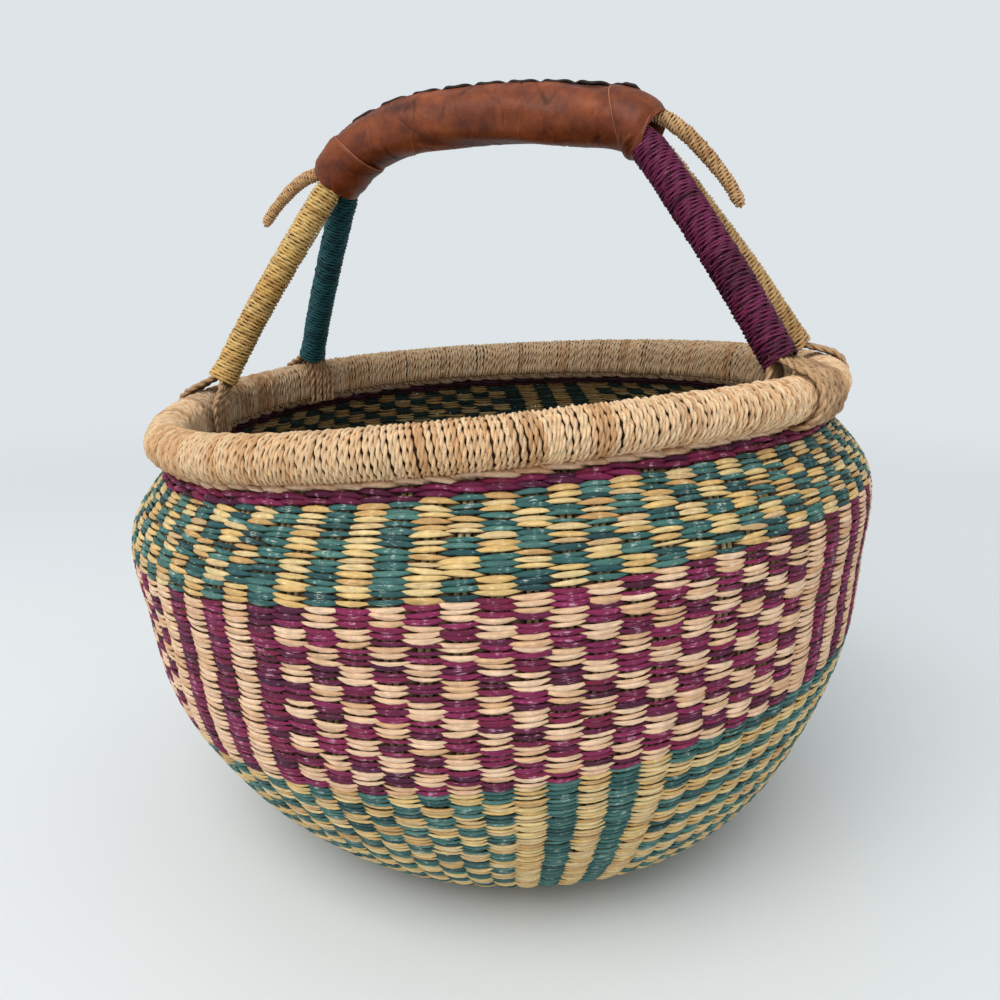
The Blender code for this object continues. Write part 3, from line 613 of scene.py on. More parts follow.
def zone_letters(rows, columns, zones, phase):
    """0 or 1 for each float: blocks in a checker, upright stripes or level stripes, by zones of columns."""
    column = np.arange(columns)[None, :]
    block = np.arange(rows)[:, None] // BLOCK_ROWS
    letters = (block + column + phase) % 2
    level = np.zeros((rows, columns), bool)
    for start, end, kind, turn in zones:
        inside = (column >= start) & (column < end)
        stripe = column if kind == "upright" else block
        letters = np.where(inside, (stripe + turn) % 2, letters)
        level |= inside & (kind == "level")
    return letters, level


def make_band(band, sets, rng, **shape):
    """A band's pieces, by face and colour, from sets of rows that are listed from the top down."""
    store = {}
    for colours, reaches, columns, zones, phase in sets:
        letters, level = zone_letters(len(reaches), columns, zones, phase)
        turn = np.broadcast_to((np.arange(columns) + 0.5) * math.tau / columns, letters.shape)
        reach = np.broadcast_to(np.asarray(reaches)[:, None], letters.shape)
        row_pitch = abs(reaches[0] - reaches[1]) if len(reaches) > 1 else ROW_PITCH
        for face, values in (("outer", letters), ("inner", np.where(level, letters, 1 - letters))):
            for value, colour in enumerate(colours):
                chosen = values == value
                if chosen.any():
                    part = float_part(turn[chosen], reach[chosen], columns, row_pitch, face == "outer", rng,
                                      **shape)
                    # Inner faces take the darker inner copies of the straws, as painted shade.
                    finish = colour if face == "outer" else "inner_" + colour
                    store.setdefault((f"{band}_{face}_{colour}", finish, colour), []).append(part)
    for (name, finish, colour), parts in store.items():
        make_piece(name, parts, finish, colour, band)


# Where the checker gives way to stripes: first column, end, direction and which colour comes first
UPPER_ZONES = ((61, 67, "upright", 1), (16, 22, "upright", 0), (38, 43, "upright", 0))
MIDDLE_ZONES = ((56, 62, "upright", 1), (79, 90, "upright", 0), (14, 20, "upright", 1))
LOWER_ZONES = ((69, 74, "upright", 0), (74, 92, "level", 0), (30, 35, "upright", 0))
UPPER_ROWS = 15
MIDDLE_ROWS = 32
# The base has fewer stakes towards its middle: the reaches of each ring of rows and its count of stakes
BASE_RINGS = ((1.0, 0.095, 92), (0.095, 0.047, 46), (0.047, 0.024, 23), (0.024, 0.012, 12), (0.012, 0.0, 6))
BASE_PLAIN_REACH = 0.024


def row_reaches(high, low, count):
    pitch = (high - low) / count
    return [high - pitch * (index + 0.5) for index in range(count)]


def make_weave():
    rng = np.random.default_rng(11)
    upper = row_reaches(TOP_REACH - TOP_ROWS_DEPTH, UPPER_REACH, UPPER_ROWS)
    middle = row_reaches(UPPER_REACH, LOWER_REACH, MIDDLE_ROWS)
    lower = row_reaches(LOWER_REACH, BASE_REACH, round((LOWER_REACH - BASE_REACH) / ROW_PITCH))
    base = row_reaches(BASE_REACH, 0.0, round(BASE_REACH / ROW_PITCH))
    make_band("upper_band", [(("teal", "gold"), upper, STAKE_COUNT, UPPER_ZONES, 1)], rng, sag=0.08)
    make_band("middle_band", [(("purple", "natural"), middle, STAKE_COUNT, MIDDLE_ZONES, 0)], rng, sag=0.22)
    make_band("lower_band", [(("teal", "gold"), lower, STAKE_COUNT, LOWER_ZONES, 0)], rng, sag=0.12,
              outer_sides=6)
    sets = []
    start = len(lower)
    for limit, least, columns in BASE_RINGS:
        chosen = [reach for reach in base if least <= reach < limit]
        colours = ("teal", "gold") if least >= BASE_PLAIN_REACH else ("natural", "natural")
        zones = LOWER_ZONES if columns == STAKE_COUNT else ()
        sets.append((colours, chosen, columns, zones, (start // BLOCK_ROWS) % 2))
        start += len(chosen)
    make_band("base_weave", sets, rng, sag=0.05)


# Depth in the wall, length of a twist and lift of each cord along the wall's top edge
EDGE_CORDS = ((0.0016, 0.0085, 0.0), (0.0031, 0.0088, 0.0009), (0.0042, 0.0090, 0.0034),
              (0.0050, 0.0095, 0.0012))
# The rows under the rim: colour, depth below the wall's top and height
TOP_ROWS = (("natural_twined_row", "natural", 0.0010, 0.0036), ("upper_purple_row", "purple", 0.0042, 0.0028),
            ("lower_purple_row", "purple", 0.0067, 0.0027))


def make_top_rows():
    """The natural row under the rim and the two purple rows, of thicker, longer floats."""
    rng = np.random.default_rng(12)
    turn = (np.arange(STAKE_COUNT) + 0.5) * math.tau / STAKE_COUNT
    for name, colour, below, high in TOP_ROWS:
        reach = np.full(STAKE_COUNT, TOP_REACH - below)
        outer, inner = [float_part(turn, reach, STAKE_COUNT, high, face, rng, length=0.86, thick=0.0014,
                                   crown_depth=0.0002, slant=0.34) for face in (True, False)]
        cords = edge_cords(rng) if name == "natural_twined_row" else []
        make_piece(name + "_straw", [outer] + cords, colour, colour, name)
        # The inner rows take the darker inner copies of the straws, as painted shade.
        make_piece(name + "_inner_straw", [inner], "inner_" + colour, colour, name)


def edge_cords(rng):
    """Cords along the wall's top edge, from its outer to its inner side, under the rim roll."""
    count = STAKE_COUNT * 14
    turn = np.arange(count + 1) * math.tau / count
    parts = []
    for depth, lay, lift in EDGE_CORDS:
        reach = np.full(count + 1, TOP_REACH - 0.0006)
        points = weave_point(turn, reach, depth)
        outward = unit(points - weave_point(turn, reach - 0.002, depth))
        twist = turn * round(math.tau * RIM_RADIUS / lay) + 0.3 * np.sin(turn * 11)
        parts.append(plied(points + lift * outward, outward, 0.0008, 0.00108, twist, 6, rng))
    return parts


# Tubes along lines

def lengths_along(path):
    return np.concatenate([[0], np.cumsum(np.linalg.norm(np.diff(path, axis=0), axis=1))])


def tangents_of(path):
    return unit(np.gradient(path, axis=0))


PLIES = 2


def plied(points, normals, offset, radius, twist, sides, rng, size=1.0, tone=None):
    """Two strands twisted round each other along a line."""
    tangents = tangents_of(points)
    across = unit(np.cross(tangents, normals))
    normals = np.cross(across, tangents)
    along = lengths_along(points) * 1000
    angle = np.arange(sides) * math.tau / sides
    size = np.ones(len(points)) * size
    ring = np.cos(angle)[None, :, None] * normals[:, None] + np.sin(angle)[None, :, None] * across[:, None]
    tube = (radius * size)[:, None, None] * ring
    tip = radius * size * 0.6
    swing = offset * size
    grids, poles, fibres, crowns = [], [], [], []
    for ply in range(PLIES):
        phase = twist + math.tau * ply / PLIES
        centre = (points + (swing * np.cos(phase))[:, None] * normals
                  + (swing * np.sin(phase))[:, None] * across)
        grids.append(centre[:, None] + tube)
        poles.append(np.stack([centre[0] - tangents[0] * tip[0], centre[-1] + tangents[-1] * tip[-1]]))
        value = np.full(len(points), rng.random()) if tone is None else (tone + 0.13 * ply) % 1.0
        spun = angle / math.tau + twist[:, None] / math.tau
        fibres.append(together(along[:, None], spun, value[:, None]))
        # Crown value: 1 on the side of a ply that faces outward, falling to 0 where it faces into the twist;
        # the material paints shade on the low values.
        crowns.append(0.5 + 0.5 * (offset * np.cos(phase)[:, None] + radius * np.cos(angle)[None])
                      / (offset + radius))
    return strand_part(np.array(grids), np.array(poles), np.array(fibres), np.array(crowns))


def wanderer(count, rng):
    """A maker of slowly changing random values for a row of places."""
    def wander(spacing, size):
        knots = rng.normal(0, size, count // spacing + 3)
        places = np.arange(count) / spacing
        low = places.astype(int)
        share = smooth_step(places - low)
        return knots[low] * (1 - share) + knots[low + 1] * share
    return wander


# Where the winding leaves the roll to pass over the wall's inner edge: turns in degrees, reach as a share
RIM_INNER_TURNS = (0, 184, 200, 211, 219, 227, 236, 248, 262, 275, 360)
RIM_INNER_SHARES = (1.0, 1.0, 1.20, 1.60, 1.66, 1.44, 1.26, 1.11, 1.03, 1.0, 1.0)
RIM_TURNS = 484
RIM_STEPS = 41
RIM_CORD_OFFSET = 0.00056
RIM_CORD_RADIUS = 0.00074
RIM_CORD_TWISTS = 5.6
RIM_CORD_DEPTH = 0.0012


def inner_share(around):
    return np.interp(around % math.tau, np.radians(RIM_INNER_TURNS), RIM_INNER_SHARES)


def make_rim():
    """The rim's winding: one two-ply cord round and round the straw roll, made in two halves."""
    rng = np.random.default_rng(21)
    count = RIM_TURNS * RIM_STEPS
    wander = wanderer(count + 1, rng)
    turn = np.arange(count + 1) / RIM_STEPS
    spread = wander(RIM_STEPS // 2, 0.11) + wander(RIM_STEPS * 9, 0.16)
    slant = wander(RIM_STEPS * 5, 0.32) + 0.75
    around = math.tau * turn
    angle = (turn + spread + slant * np.sin(around - 0.5)) / RIM_TURNS * math.tau
    reach = (RIM_ROLL_RADIUS - RIM_CORD_DEPTH + wander(RIM_STEPS // 3, 0.00020)) * inner_share(around)
    points, normals = around_rim(angle, around, reach)
    twist = around * RIM_CORD_TWISTS + wander(RIM_STEPS, 0.9)
    tone = 0.5 + wander(RIM_STEPS // 2, 0.16) + wander(RIM_STEPS * 3, 0.16) + wander(RIM_STEPS * 16, 0.16)
    tone = np.clip(tone, 0, 0.999)
    half = count // 2
    # The back half takes the darker rim straw: painted shade.
    for name, finish, chosen in (("rim_winding_back", "shade_painted_back_rim", slice(0, half + 1)),
                                 ("rim_winding_front", "rim", slice(half, count + 1))):
        part = plied(points[chosen], normals[chosen], RIM_CORD_OFFSET, RIM_CORD_RADIUS, twist[chosen], 5, rng,
                     tone=tone[chosen])
        make_piece(name, [part], finish, "natural", "rim_wrap")


# The handle

ALONG = np.array((math.cos(HANDLE_TURN), math.sin(HANDLE_TURN), 0))
ACROSS = np.array((-math.sin(HANDLE_TURN), math.cos(HANDLE_TURN), 0))
UP = np.array((0.0, 0.0, 1.0))


def handle_points(shares):
    shares = np.array(shares, float)
    return GRIP_TOP + ALONG * (shares[:, :1] * GRIP_REACH) + UP * (shares[:, 1:] * GRIP_DROP)


def smooth_path(points, steps):
    points = np.asarray(points)
    ends = np.concatenate([[2 * points[0] - points[1]], points, [2 * points[-1] - points[-2]]])
    path = []
    for index in range(1, len(ends) - 2):
        before, here, there, after = ends[index - 1:index + 3]
        for step in range(steps):
            share = step / steps
            path.append(0.5 * (2 * here + (there - before) * share
                               + (2 * before - 5 * here + 4 * there - after) * share ** 2
                               + (3 * here - before - 3 * there + after) * share ** 3))
    path.append(points[-1])
    return np.array(path)


def bundle_line(side):
    """Middle line of one of the grip's three bundles: side -1 front, 1 back, 0 on top."""
    line = handle_points(GRIP_LINE_SHARES)
    tangents = np.empty_like(line)
    tangents[1:-1] = line[2:] - line[:-2]
    tangents[0] = line[1] - line[0]
    tangents[-1] = line[-1] - line[-2]
    normals = unit(np.cross(unit(tangents), ACROSS))
    pack = (2 * CORE_RADIUS + CLEARANCE) / math.sqrt(3)
    half = CORE_RADIUS + CLEARANCE / 2
    middle = (len(line) - 1) / 2
    late = (np.abs(np.arange(len(line)) - middle) / middle) ** SPREAD_POWER
    spread = half + (CORE_SPREAD_AT_END - half) * late
    if side:
        return line + side * spread[:, None] * ACROSS - normals * (pack / 2)
    return line + normals * pack


def foot_frame(foot_angle):
    """The middle of a leg's foot in the rim roll, and the direction from the basket's axis to it."""
    return rim_point(np.array(foot_angle)), np.array((math.cos(foot_angle), math.sin(foot_angle), 0))


def leg_points(foot_angle, grip_end):
    foot, outward = foot_frame(foot_angle)
    direction = unit(grip_end - foot)
    return np.array([foot + direction * LEG_STAND_OFF, (foot + grip_end) / 2 + outward * LEG_BOW])


PATH_STEPS = 12


def make_hoop(side, left_angle, right_angle):
    """A hoop's line from its left to its right foot, and the part of it in the grip."""
    line = bundle_line(side)
    left = leg_points(left_angle, line[0])
    right = leg_points(right_angle, line[-1])
    return smooth_path(np.concatenate([left, line, right[::-1]]), PATH_STEPS), line


def resampled(path, distances):
    total = lengths_along(path)
    return np.stack([np.interp(distances, total, path[:, axis]) for axis in range(3)], axis=-1)


def winding(path, length, radii, pitch, rng, offset, ply, twists, per_turn, spread, slant):
    """A cord wound closely round a line, over a length. radii maps distance to radius."""
    count = int(length / pitch * per_turn) + 1
    wander = wanderer(count, rng)
    turn = np.arange(count) / per_turn
    loose = wander(per_turn, spread)
    tilt = wander(per_turn * 5, slant)
    around = math.tau * turn
    distance = np.clip((turn + loose + tilt * np.sin(around)) * pitch, 0, length)
    centre = resampled(path, distance)
    tangents = unit(resampled(path, distance + 0.0005) - centre)
    side = unit(np.cross(tangents, ACROSS))
    other = np.cross(tangents, side)
    normals = np.cos(around)[:, None] * side + np.sin(around)[:, None] * other
    reach = radii(distance) + wander(5, 0.00013)
    twist = around * twists + wander(per_turn * 3, 0.6)
    tone = np.clip(0.5 + wander(per_turn, 0.2) + wander(per_turn * 8, 0.2), 0, 0.999)
    return plied(centre + reach[:, None] * normals, normals, offset, ply, twist, 5, rng, tone=tone)


# Of each leg: hoop (0 front, 1 back), end of the grip (0 left, -1 right), colour, radius, pitch of its
# winding, seed, flare at the foot, and how unevenly the turns are spread and slanted
LEGS = (
    ("left_front_leg", 0, 0, "gold", 0.0080, 0.00195, 31, 0.0010, 0.09, 0.12),
    ("left_back_leg", 1, 0, "teal", 0.0080, 0.00190, 32, 0.0008, 0.09, 0.12),
    ("right_front_leg", 0, -1, "purple", 0.0087, 0.00180, 33, 0.0, 0.16, 0.28),
    ("right_back_leg", 1, -1, "natural", 0.0077, 0.00190, 34, 0.0004, 0.09, 0.12),
)


def make_legs(hoops):
    for name, hoop, end, colour, radius, pitch, seed, flare, spread, slant in LEGS:
        path, line = hoops[hoop]
        if end:
            path = path[::-1]
        nearest = int(np.argmin(np.linalg.norm(path - line[end], axis=1)))
        length = lengths_along(path)[nearest] + WRAP_OVERLAP
        ply = pitch * 0.34

        def radii(distance):
            low = np.exp(-(distance / 0.006) ** 2) * flare
            tucked = 1 - 0.24 * smooth_step((distance - length + 0.011) / 0.010)
            return (radius - 1.6 * ply + low) * tucked

        part = winding(path, length, radii, pitch, np.random.default_rng(seed), ply * 0.62, ply, 3.4, 26,
                       spread, slant)
        make_piece(name + "_winding", [part], colour + "_leg", colour, name + "_wrap")


HORN_PITCH = 0.0016
HORN_PLY = 0.00054


def make_horns():
    left = handle_points(LEFT_HORN_SHARES)[::-1]
    right = handle_points(RIGHT_HORN_SHARES)
    path = smooth_path(np.concatenate([left, bundle_line(0)[1:-1], right]), PATH_STEPS)
    first = PATH_STEPS * (len(left) - 1)
    last = len(path) - 1 - PATH_STEPS * (len(right) - 1)
    for name, piece, seed in (("left_horn", path[:first + PATH_STEPS], 41),
                              ("right_horn", path[:last - PATH_STEPS:-1], 42)):
        length = lengths_along(piece[:1 - PATH_STEPS])[-1] + WRAP_OVERLAP

        def radii(distance):
            tip = np.clip(distance / (HORN_RADIUS * 1.1), 0.0, 1.0)
            rounded = np.sqrt(np.clip(1 - (1 - tip) ** 2.2, 0.012, 1.0))
            slim = 0.84 + 0.16 * smooth_step(distance / (0.7 * length))
            return (HORN_RADIUS * slim - 1.6 * HORN_PLY) * rounded

        part = winding(piece, length, radii, HORN_PITCH, np.random.default_rng(seed), HORN_PLY * 0.6,
                       HORN_PLY, 2.4, 20, 0.10, 0.1)
        make_piece(name + "_winding", [part], "horn", "natural", name + "_wrap")


# The lashings

ROPE_RADIUS = 0.0018
ROPE_PLY = ROPE_RADIUS * 0.56
ROPE_LAY = 0.0110
ROPE_STAND_OFF = 0.0022
ROPE_TIP = 0.0040
# Of each lashing: foot, hoop and end of the grip, seed, count of ropes, their spacing at the roll and at the
# leg, and how far they sweep along the rim
LASHINGS = (
    ("left_front_lashing", LEFT_FRONT_ANGLE, 0, 0, 71, 6, 0.0038, 0.0024, 0.0110),
    ("left_back_lashing", LEFT_BACK_ANGLE, 1, 0, 72, 6, 0.0034, 0.0022, -0.0030),
    ("right_front_lashing", RIGHT_FRONT_ANGLE, 0, -1, 73, 7, 0.0036, 0.0020, 0.0),
    ("right_back_lashing", RIGHT_BACK_ANGLE, 1, -1, 74, 4, 0.0040, 0.0022, 0.0),
)


def make_lashing(name, foot_angle, grip_end, seed, count, at_roll, at_leg, sweep):
    """Ropes that leave the leg's bottom on both sides, spread, and pass round under the rim roll."""
    rng = np.random.default_rng(seed)
    foot, outward = foot_frame(foot_angle)
    leg = unit(grip_end - foot)
    lean = math.atan2(leg @ outward, leg[2])
    drift = leg @ np.array((-outward[1], outward[0], 0.0))
    parts = []
    for index in range(count):
        place = index - (count - 1) / 2
        wrap = RIM_ROLL_RADIUS + ROPE_STAND_OFF + abs(rng.normal(0, 0.0003))
        tangent = math.acos(wrap / (LEG_STAND_OFF + ROPE_TIP))
        turn = np.linspace(-math.pi, math.pi, 97)
        extra = np.maximum(0.0, tangent - np.abs(turn))
        around = turn + lean
        squeeze = np.maximum(0.0, np.cos(around - ROPE_SQUEEZE_TURN)) ** 2
        reach = (wrap / np.cos(extra) - squeeze * 0.0009) * inner_share(around)
        high = smooth_step(extra / tangent)
        offset = place * (at_roll * (1 - high) + at_leg * high) + rng.normal(0, 0.0004)
        offset = offset + sweep * (1 - high) * (0.5 - 0.5 * np.sin(around))
        offset = offset + high * drift * reach * np.cos(turn)
        offset = offset + np.interp(np.abs(turn), (0, math.pi), (0, 1)) * rng.normal(0, 0.0007)
        points, normals = around_rim(foot_angle + offset / RIM_RADIUS, around, reach)
        twist = math.tau * lengths_along(points) / ROPE_LAY + rng.random() * math.tau
        parts.append(plied(points, normals, ROPE_RADIUS - ROPE_PLY, ROPE_PLY, twist, 6, rng,
                           size=1 - 0.40 * squeeze))
    make_piece(name + "_ropes", parts, "rope", "natural", name)


# The leather: a tube of points round the grip, at the same turns in the sleeve and the cuffs

LEATHER_SIDES = 150
LEATHER_TURN = np.arange(LEATHER_SIDES) * math.tau / LEATHER_SIDES
LEATHER_COS = np.cos(LEATHER_TURN)
LEATHER_SIN = np.sin(LEATHER_TURN)
LEATHER_GIRTH = math.tau * SLEEVE_RADIUS
LEATHER_AROUND = (LEATHER_TURN / math.tau * LEATHER_GIRTH)[None, :]
LEATHER_LOBES = (1 + 0.030 * np.cos(3 * LEATHER_TURN) + 0.012 * np.sin(2 * LEATHER_TURN + 0.7))[None, :]
LEATHER_INSET = 0.0004
FOLD_HEIGHT = 0.0010
# Highest relief value for the leather's painted light, kept below its worn edge colour
MOST_RELIEF_LIGHT = 0.88
# The right end of the grip is cut at a slant: mean shift along the grip and shift of its top and bottom
RIGHT_END_SHIFT = 0.0010
RIGHT_END_SLOPE = 0.0036
GRIP_PATH = smooth_path(handle_points(GRIP_LINE_SHARES), 16)
GRIP_LENGTH = lengths_along(GRIP_PATH)[-1]


def leather_frames(count):
    distance = np.linspace(0, GRIP_LENGTH, count)
    points = resampled(GRIP_PATH, distance)
    tangents = tangents_of(points)
    return points, tangents, unit(np.cross(tangents, ACROSS)), distance


def sleeve_radius(share):
    return SLEEVE_RADIUS + (SLEEVE_END_RADIUS - SLEEVE_RADIUS) * np.abs(2 * share - 1) ** 3


def squash(share):
    """The leather is drawn in above and beneath, most at the grip's ends."""
    return 0.965 - 0.17 * np.abs(2 * share - 1) ** 3


def leather_outward(share, normals):
    return (squash(share)[..., None] * LEATHER_COS[None, :, None] * normals
            + LEATHER_SIN[None, :, None] * ACROSS)


def leather_fibre(along, size):
    return together(along, size * LEATHER_COS * 1000, size * LEATHER_SIN * 1000)


def slanted_end(end, tangents):
    """How far the leather's points are shifted along the grip near its right end."""
    return (end[:, None] * (RIGHT_END_SHIFT - RIGHT_END_SLOPE * LEATHER_COS[None, :]))[..., None] * tangents


def creases(along, rng, count, low, high):
    """Depth of fine folds on a surface laid flat."""
    depth = np.zeros(np.broadcast(along, LEATHER_AROUND).shape)
    for _ in range(count):
        place = rng.uniform(low, high)
        side = rng.uniform(-0.5, 0.5) * LEATHER_GIRTH
        heading = rng.normal(math.pi / 2, 0.5)
        half = rng.uniform(0.003, 0.010)
        wide = rng.uniform(0.0004, 0.0011)
        size = rng.uniform(0.00012, 0.00042) * (1 if rng.random() < 0.35 else -1)
        far = (LEATHER_AROUND - side + LEATHER_GIRTH / 2) % LEATHER_GIRTH - LEATHER_GIRTH / 2
        near = along - place
        forward = near * math.cos(heading) + far * math.sin(heading)
        sideways = -near * math.sin(heading) + far * math.cos(heading) + 9.0 * forward ** 2 * rng.normal(0, 1)
        depth += size * np.exp(-(sideways / wide) ** 2) * np.exp(-(forward / half) ** 4)
    return depth


def sheet_part(grid, outward, fibre, finish, depth, steps, inner_painted_shade):
    """A closed leather tube: an outer skin that turns in at both ends to an inner skin."""
    places = np.linspace(len(grid) - 1, 0, steps).round().astype(int)
    inner = grid[places] - outward[places] * depth
    # The inner skin takes its own relief value: painted shade inside the tube
    finish = np.concatenate([finish, np.full(inner.shape[:2], inner_painted_shade)])
    fibre = np.concatenate([fibre, fibre[places]])
    grid = np.concatenate([grid, inner])
    quads = ring_quads(*grid.shape[:2], closed=True)
    return grid.reshape(-1, 3), quads, np.empty((0, 3), int), fibre.reshape(-1, 3), finish.reshape(-1)


def make_sleeve():
    """The leather wrapped round the grip, with folds, soft waves, wrinkles and its lapped seam."""
    rng = np.random.default_rng(51)
    points, tangents, normals, distance = leather_frames(400)
    share = distance / GRIP_LENGTH
    along = distance[:, None]
    turn = LEATHER_TURN
    fold = creases(along, rng, 190, distance[0], distance[-1])
    soft = np.zeros_like(fold)
    for _ in range(60):
        wave_along = rng.uniform(20, 190)
        wave_around = rng.integers(0, 7)
        height = rng.normal(0, 0.00005)
        soft += height * np.sin(wave_along * along + wave_around * turn[None, :] + rng.uniform(0, 6.3))
    wrinkle_turn = (along * 1900 + 2.4 * np.sin(turn)[None, :] + 9 * np.sin(along * 57)
                    + 4 * np.sin(along * 131 + 2 * turn[None, :]))
    wrinkle = (np.maximum(0, np.sin(wrinkle_turn)) ** 3
               * np.maximum(0, np.sin(along * 73 + 3 * turn[None, :] + 1.1)))
    away = (turn - LACING_TURN + math.pi) % math.tau - math.pi
    gap = away[None, :] * SLEEVE_RADIUS
    ragged = 0.0004 * np.sin(along * math.tau / 0.011 + 0.8) + 0.0003 * np.sin(along * math.tau / 0.0073)
    groove = np.exp(-((gap - 0.0003) / 0.0011) ** 2)
    flap = smooth_step((gap + 0.0062 + ragged) / 0.0008) * (1 - smooth_step((gap + 0.0006) / 0.0008))
    extra = fold + soft + 0.00012 * wrinkle - 0.0007 * groove + 0.0006 * flap
    # Relief value for painted light and shade: folds, waves and wrinkles lighter, the seam's groove darker
    finish = 0.55 + fold / FOLD_HEIGHT + soft / 0.0016 + 0.07 * wrinkle - 0.30 * groove
    size = (sleeve_radius(share) - LEATHER_INSET)[:, None] * LEATHER_LOBES + extra
    grid = (points[:, None] + size[..., None] * leather_outward(share[:, None], normals[:, None])
            + slanted_end(smooth_step((share - 0.86) / 0.14), tangents[:, None]))
    part = sheet_part(grid, unit(grid - points[:, None]), leather_fibre(along * 1000, size),
                      np.clip(finish, 0.0, MOST_RELIEF_LIGHT), 0.0015, 30, 0.35)
    make_piece("leather_grip", [part], "leather", "leather", "leather_sleeve")


def make_cuff(name, start, end, slope, seed):
    """A leather band over the end of the sleeve, with a cut edge and an end that turns in."""
    rng = np.random.default_rng(seed)
    along = np.linspace(0, 1, 70)
    left = start == 0.0
    low = start * GRIP_LENGTH
    high = end * GRIP_LENGTH
    edge = slope * LEATHER_COS[None, :]
    if left:
        place = low + (high - low + edge) * along[:, None]
        near_edge = along[::-1]
    else:
        place = high - (high - low - edge) * (1 - along[:, None])
        near_edge = along
    share = np.clip(place / GRIP_LENGTH, 0, 1)
    tangents = unit(resampled(GRIP_PATH, place + 0.0004) - resampled(GRIP_PATH, place - 0.0004))
    normals = unit(np.cross(tangents, ACROSS))
    fold = creases(place, rng, 34, low, high) * 0.8
    lip = np.exp(-((near_edge * (high - low)) / 0.0010) ** 2)[:, None]
    closing = smooth_step(((1 - near_edge) * (high - low)) / 0.006)[:, None]
    size = (sleeve_radius(share) - LEATHER_INSET) * LEATHER_LOBES + (0.0014 - 0.0007 * lip) + fold
    size = size * (0.90 + 0.10 * closing)
    outward = leather_outward(share, normals)
    grid = resampled(GRIP_PATH, place) + size[..., None] * outward
    if not left:
        grid = grid + slanted_end(smooth_step(1 - near_edge), tangents)
    # Relief value: painted light and shade of the folds, and the pale worn colour at the cut edge
    finish = np.maximum(np.clip(0.55 + fold / FOLD_HEIGHT, 0, MOST_RELIEF_LIGHT), lip)
    part = sheet_part(grid, outward, leather_fibre(place * 1000 + 170, size), finish, 0.0011, 16, 0.3)
    make_piece(name + "_leather", [part], "leather", "leather", name)


LACING_HALF_WIDTH = 0.0025
LACING_HALF_THICKNESS = 0.0011


def make_lacing():
    """A flat thong that swings from side to side over the sleeve's seam."""
    points, _, normals, distance = leather_frames(600)
    start = (LEFT_CUFF_SHARE + LACING_MARGIN_SHARE) * GRIP_LENGTH - LACING_REACH
    end = (1.0 - RIGHT_CUFF_SHARE - LACING_MARGIN_SHARE) * GRIP_LENGTH + LACING_REACH
    place = np.linspace(start, end, LACING_STITCHES * 60 + 1)
    swing = np.linspace(0, LACING_STITCHES * math.tau, len(place))
    index = np.interp(place, distance, np.arange(len(distance)))
    low = index.astype(int)
    part = (index - low)[:, None]

    def taken(values):
        return values[low] * (1 - part) + values[np.minimum(low + 1, len(values) - 1)] * part

    lift = sleeve_radius(place / GRIP_LENGTH) + 0.0014 + 0.0004 * np.cos(2 * swing)
    over = smooth_step((LEFT_CUFF_SHARE * GRIP_LENGTH - place + 0.002) / 0.002)
    over = over + smooth_step((place - (1.0 - RIGHT_CUFF_SHARE) * GRIP_LENGTH + 0.002) / 0.002)
    ends = smooth_step(np.minimum(swing, swing[-1] - swing) / 1.2)
    lift = lift + 0.0014 * over - 0.0030 * (1 - ends)
    turn = LACING_TURN + (LACING_SWING / lift) * np.sin(swing)
    outward = (squash(place / GRIP_LENGTH)[:, None] * np.cos(turn)[:, None] * unit(taken(normals))
               + np.sin(turn)[:, None] * ACROSS)
    line = taken(points) + lift[:, None] * outward
    tangent = tangents_of(line)
    side = unit(np.cross(tangent, outward))
    angle = np.arange(10) * math.tau / 10
    wide, thick = (np.sign(wave) * np.abs(wave) ** 0.6 for wave in (np.cos(angle), np.sin(angle)))
    grid = (line[:, None] + LACING_HALF_WIDTH * wide[None, :, None] * side[:, None]
            + LACING_HALF_THICKNESS * thick[None, :, None] * outward[:, None])[None]
    poles = np.stack([line[0] - tangent[0] * 0.0008, line[-1] + tangent[-1] * 0.0008])[None]
    fibre = together(lengths_along(line)[:, None] * 1000, wide * 1.7, thick * 0.6)[None]
    # Painted light and shade: the thong's outer face drawn lighter, its underside darker
    crown = np.broadcast_to(0.5 + 0.3 * thick, grid.shape[:3])
    make_piece("grip_lacing", [strand_part(grid, poles, fibre, crown)], "thong", "dark_leather",
               "sleeve_lacing")


# The straws that stand in the wall

WALL_STRAW_SIDES = 5
COLUMN_PITCH = math.tau / STAKE_COUNT


def wall_straws(centre, reach, depth, half_wide, half_deep, strand, crown):
    """Upright straws from a grid (straw, ring) of turns, reaches, depths and half sizes."""
    angle = np.arange(WALL_STRAW_SIDES) * math.tau / WALL_STRAW_SIDES
    girth = np.interp(reach, ARC, ARC_RADIUS)
    turn = centre[..., None] + half_wide[..., None] * np.cos(angle) / girth[..., None]
    grid = weave_point(turn, reach[..., None], depth[..., None] + half_deep[..., None] * np.sin(angle))
    poles = weave_point(centre[:, [0, -1]], reach[:, [0, -1]], depth[:, [0, -1]])
    fibre = together((reach * 1000)[..., None], angle / math.tau, strand[..., None])
    return strand_part(grid, poles, fibre, np.full(grid.shape[:3], crown))


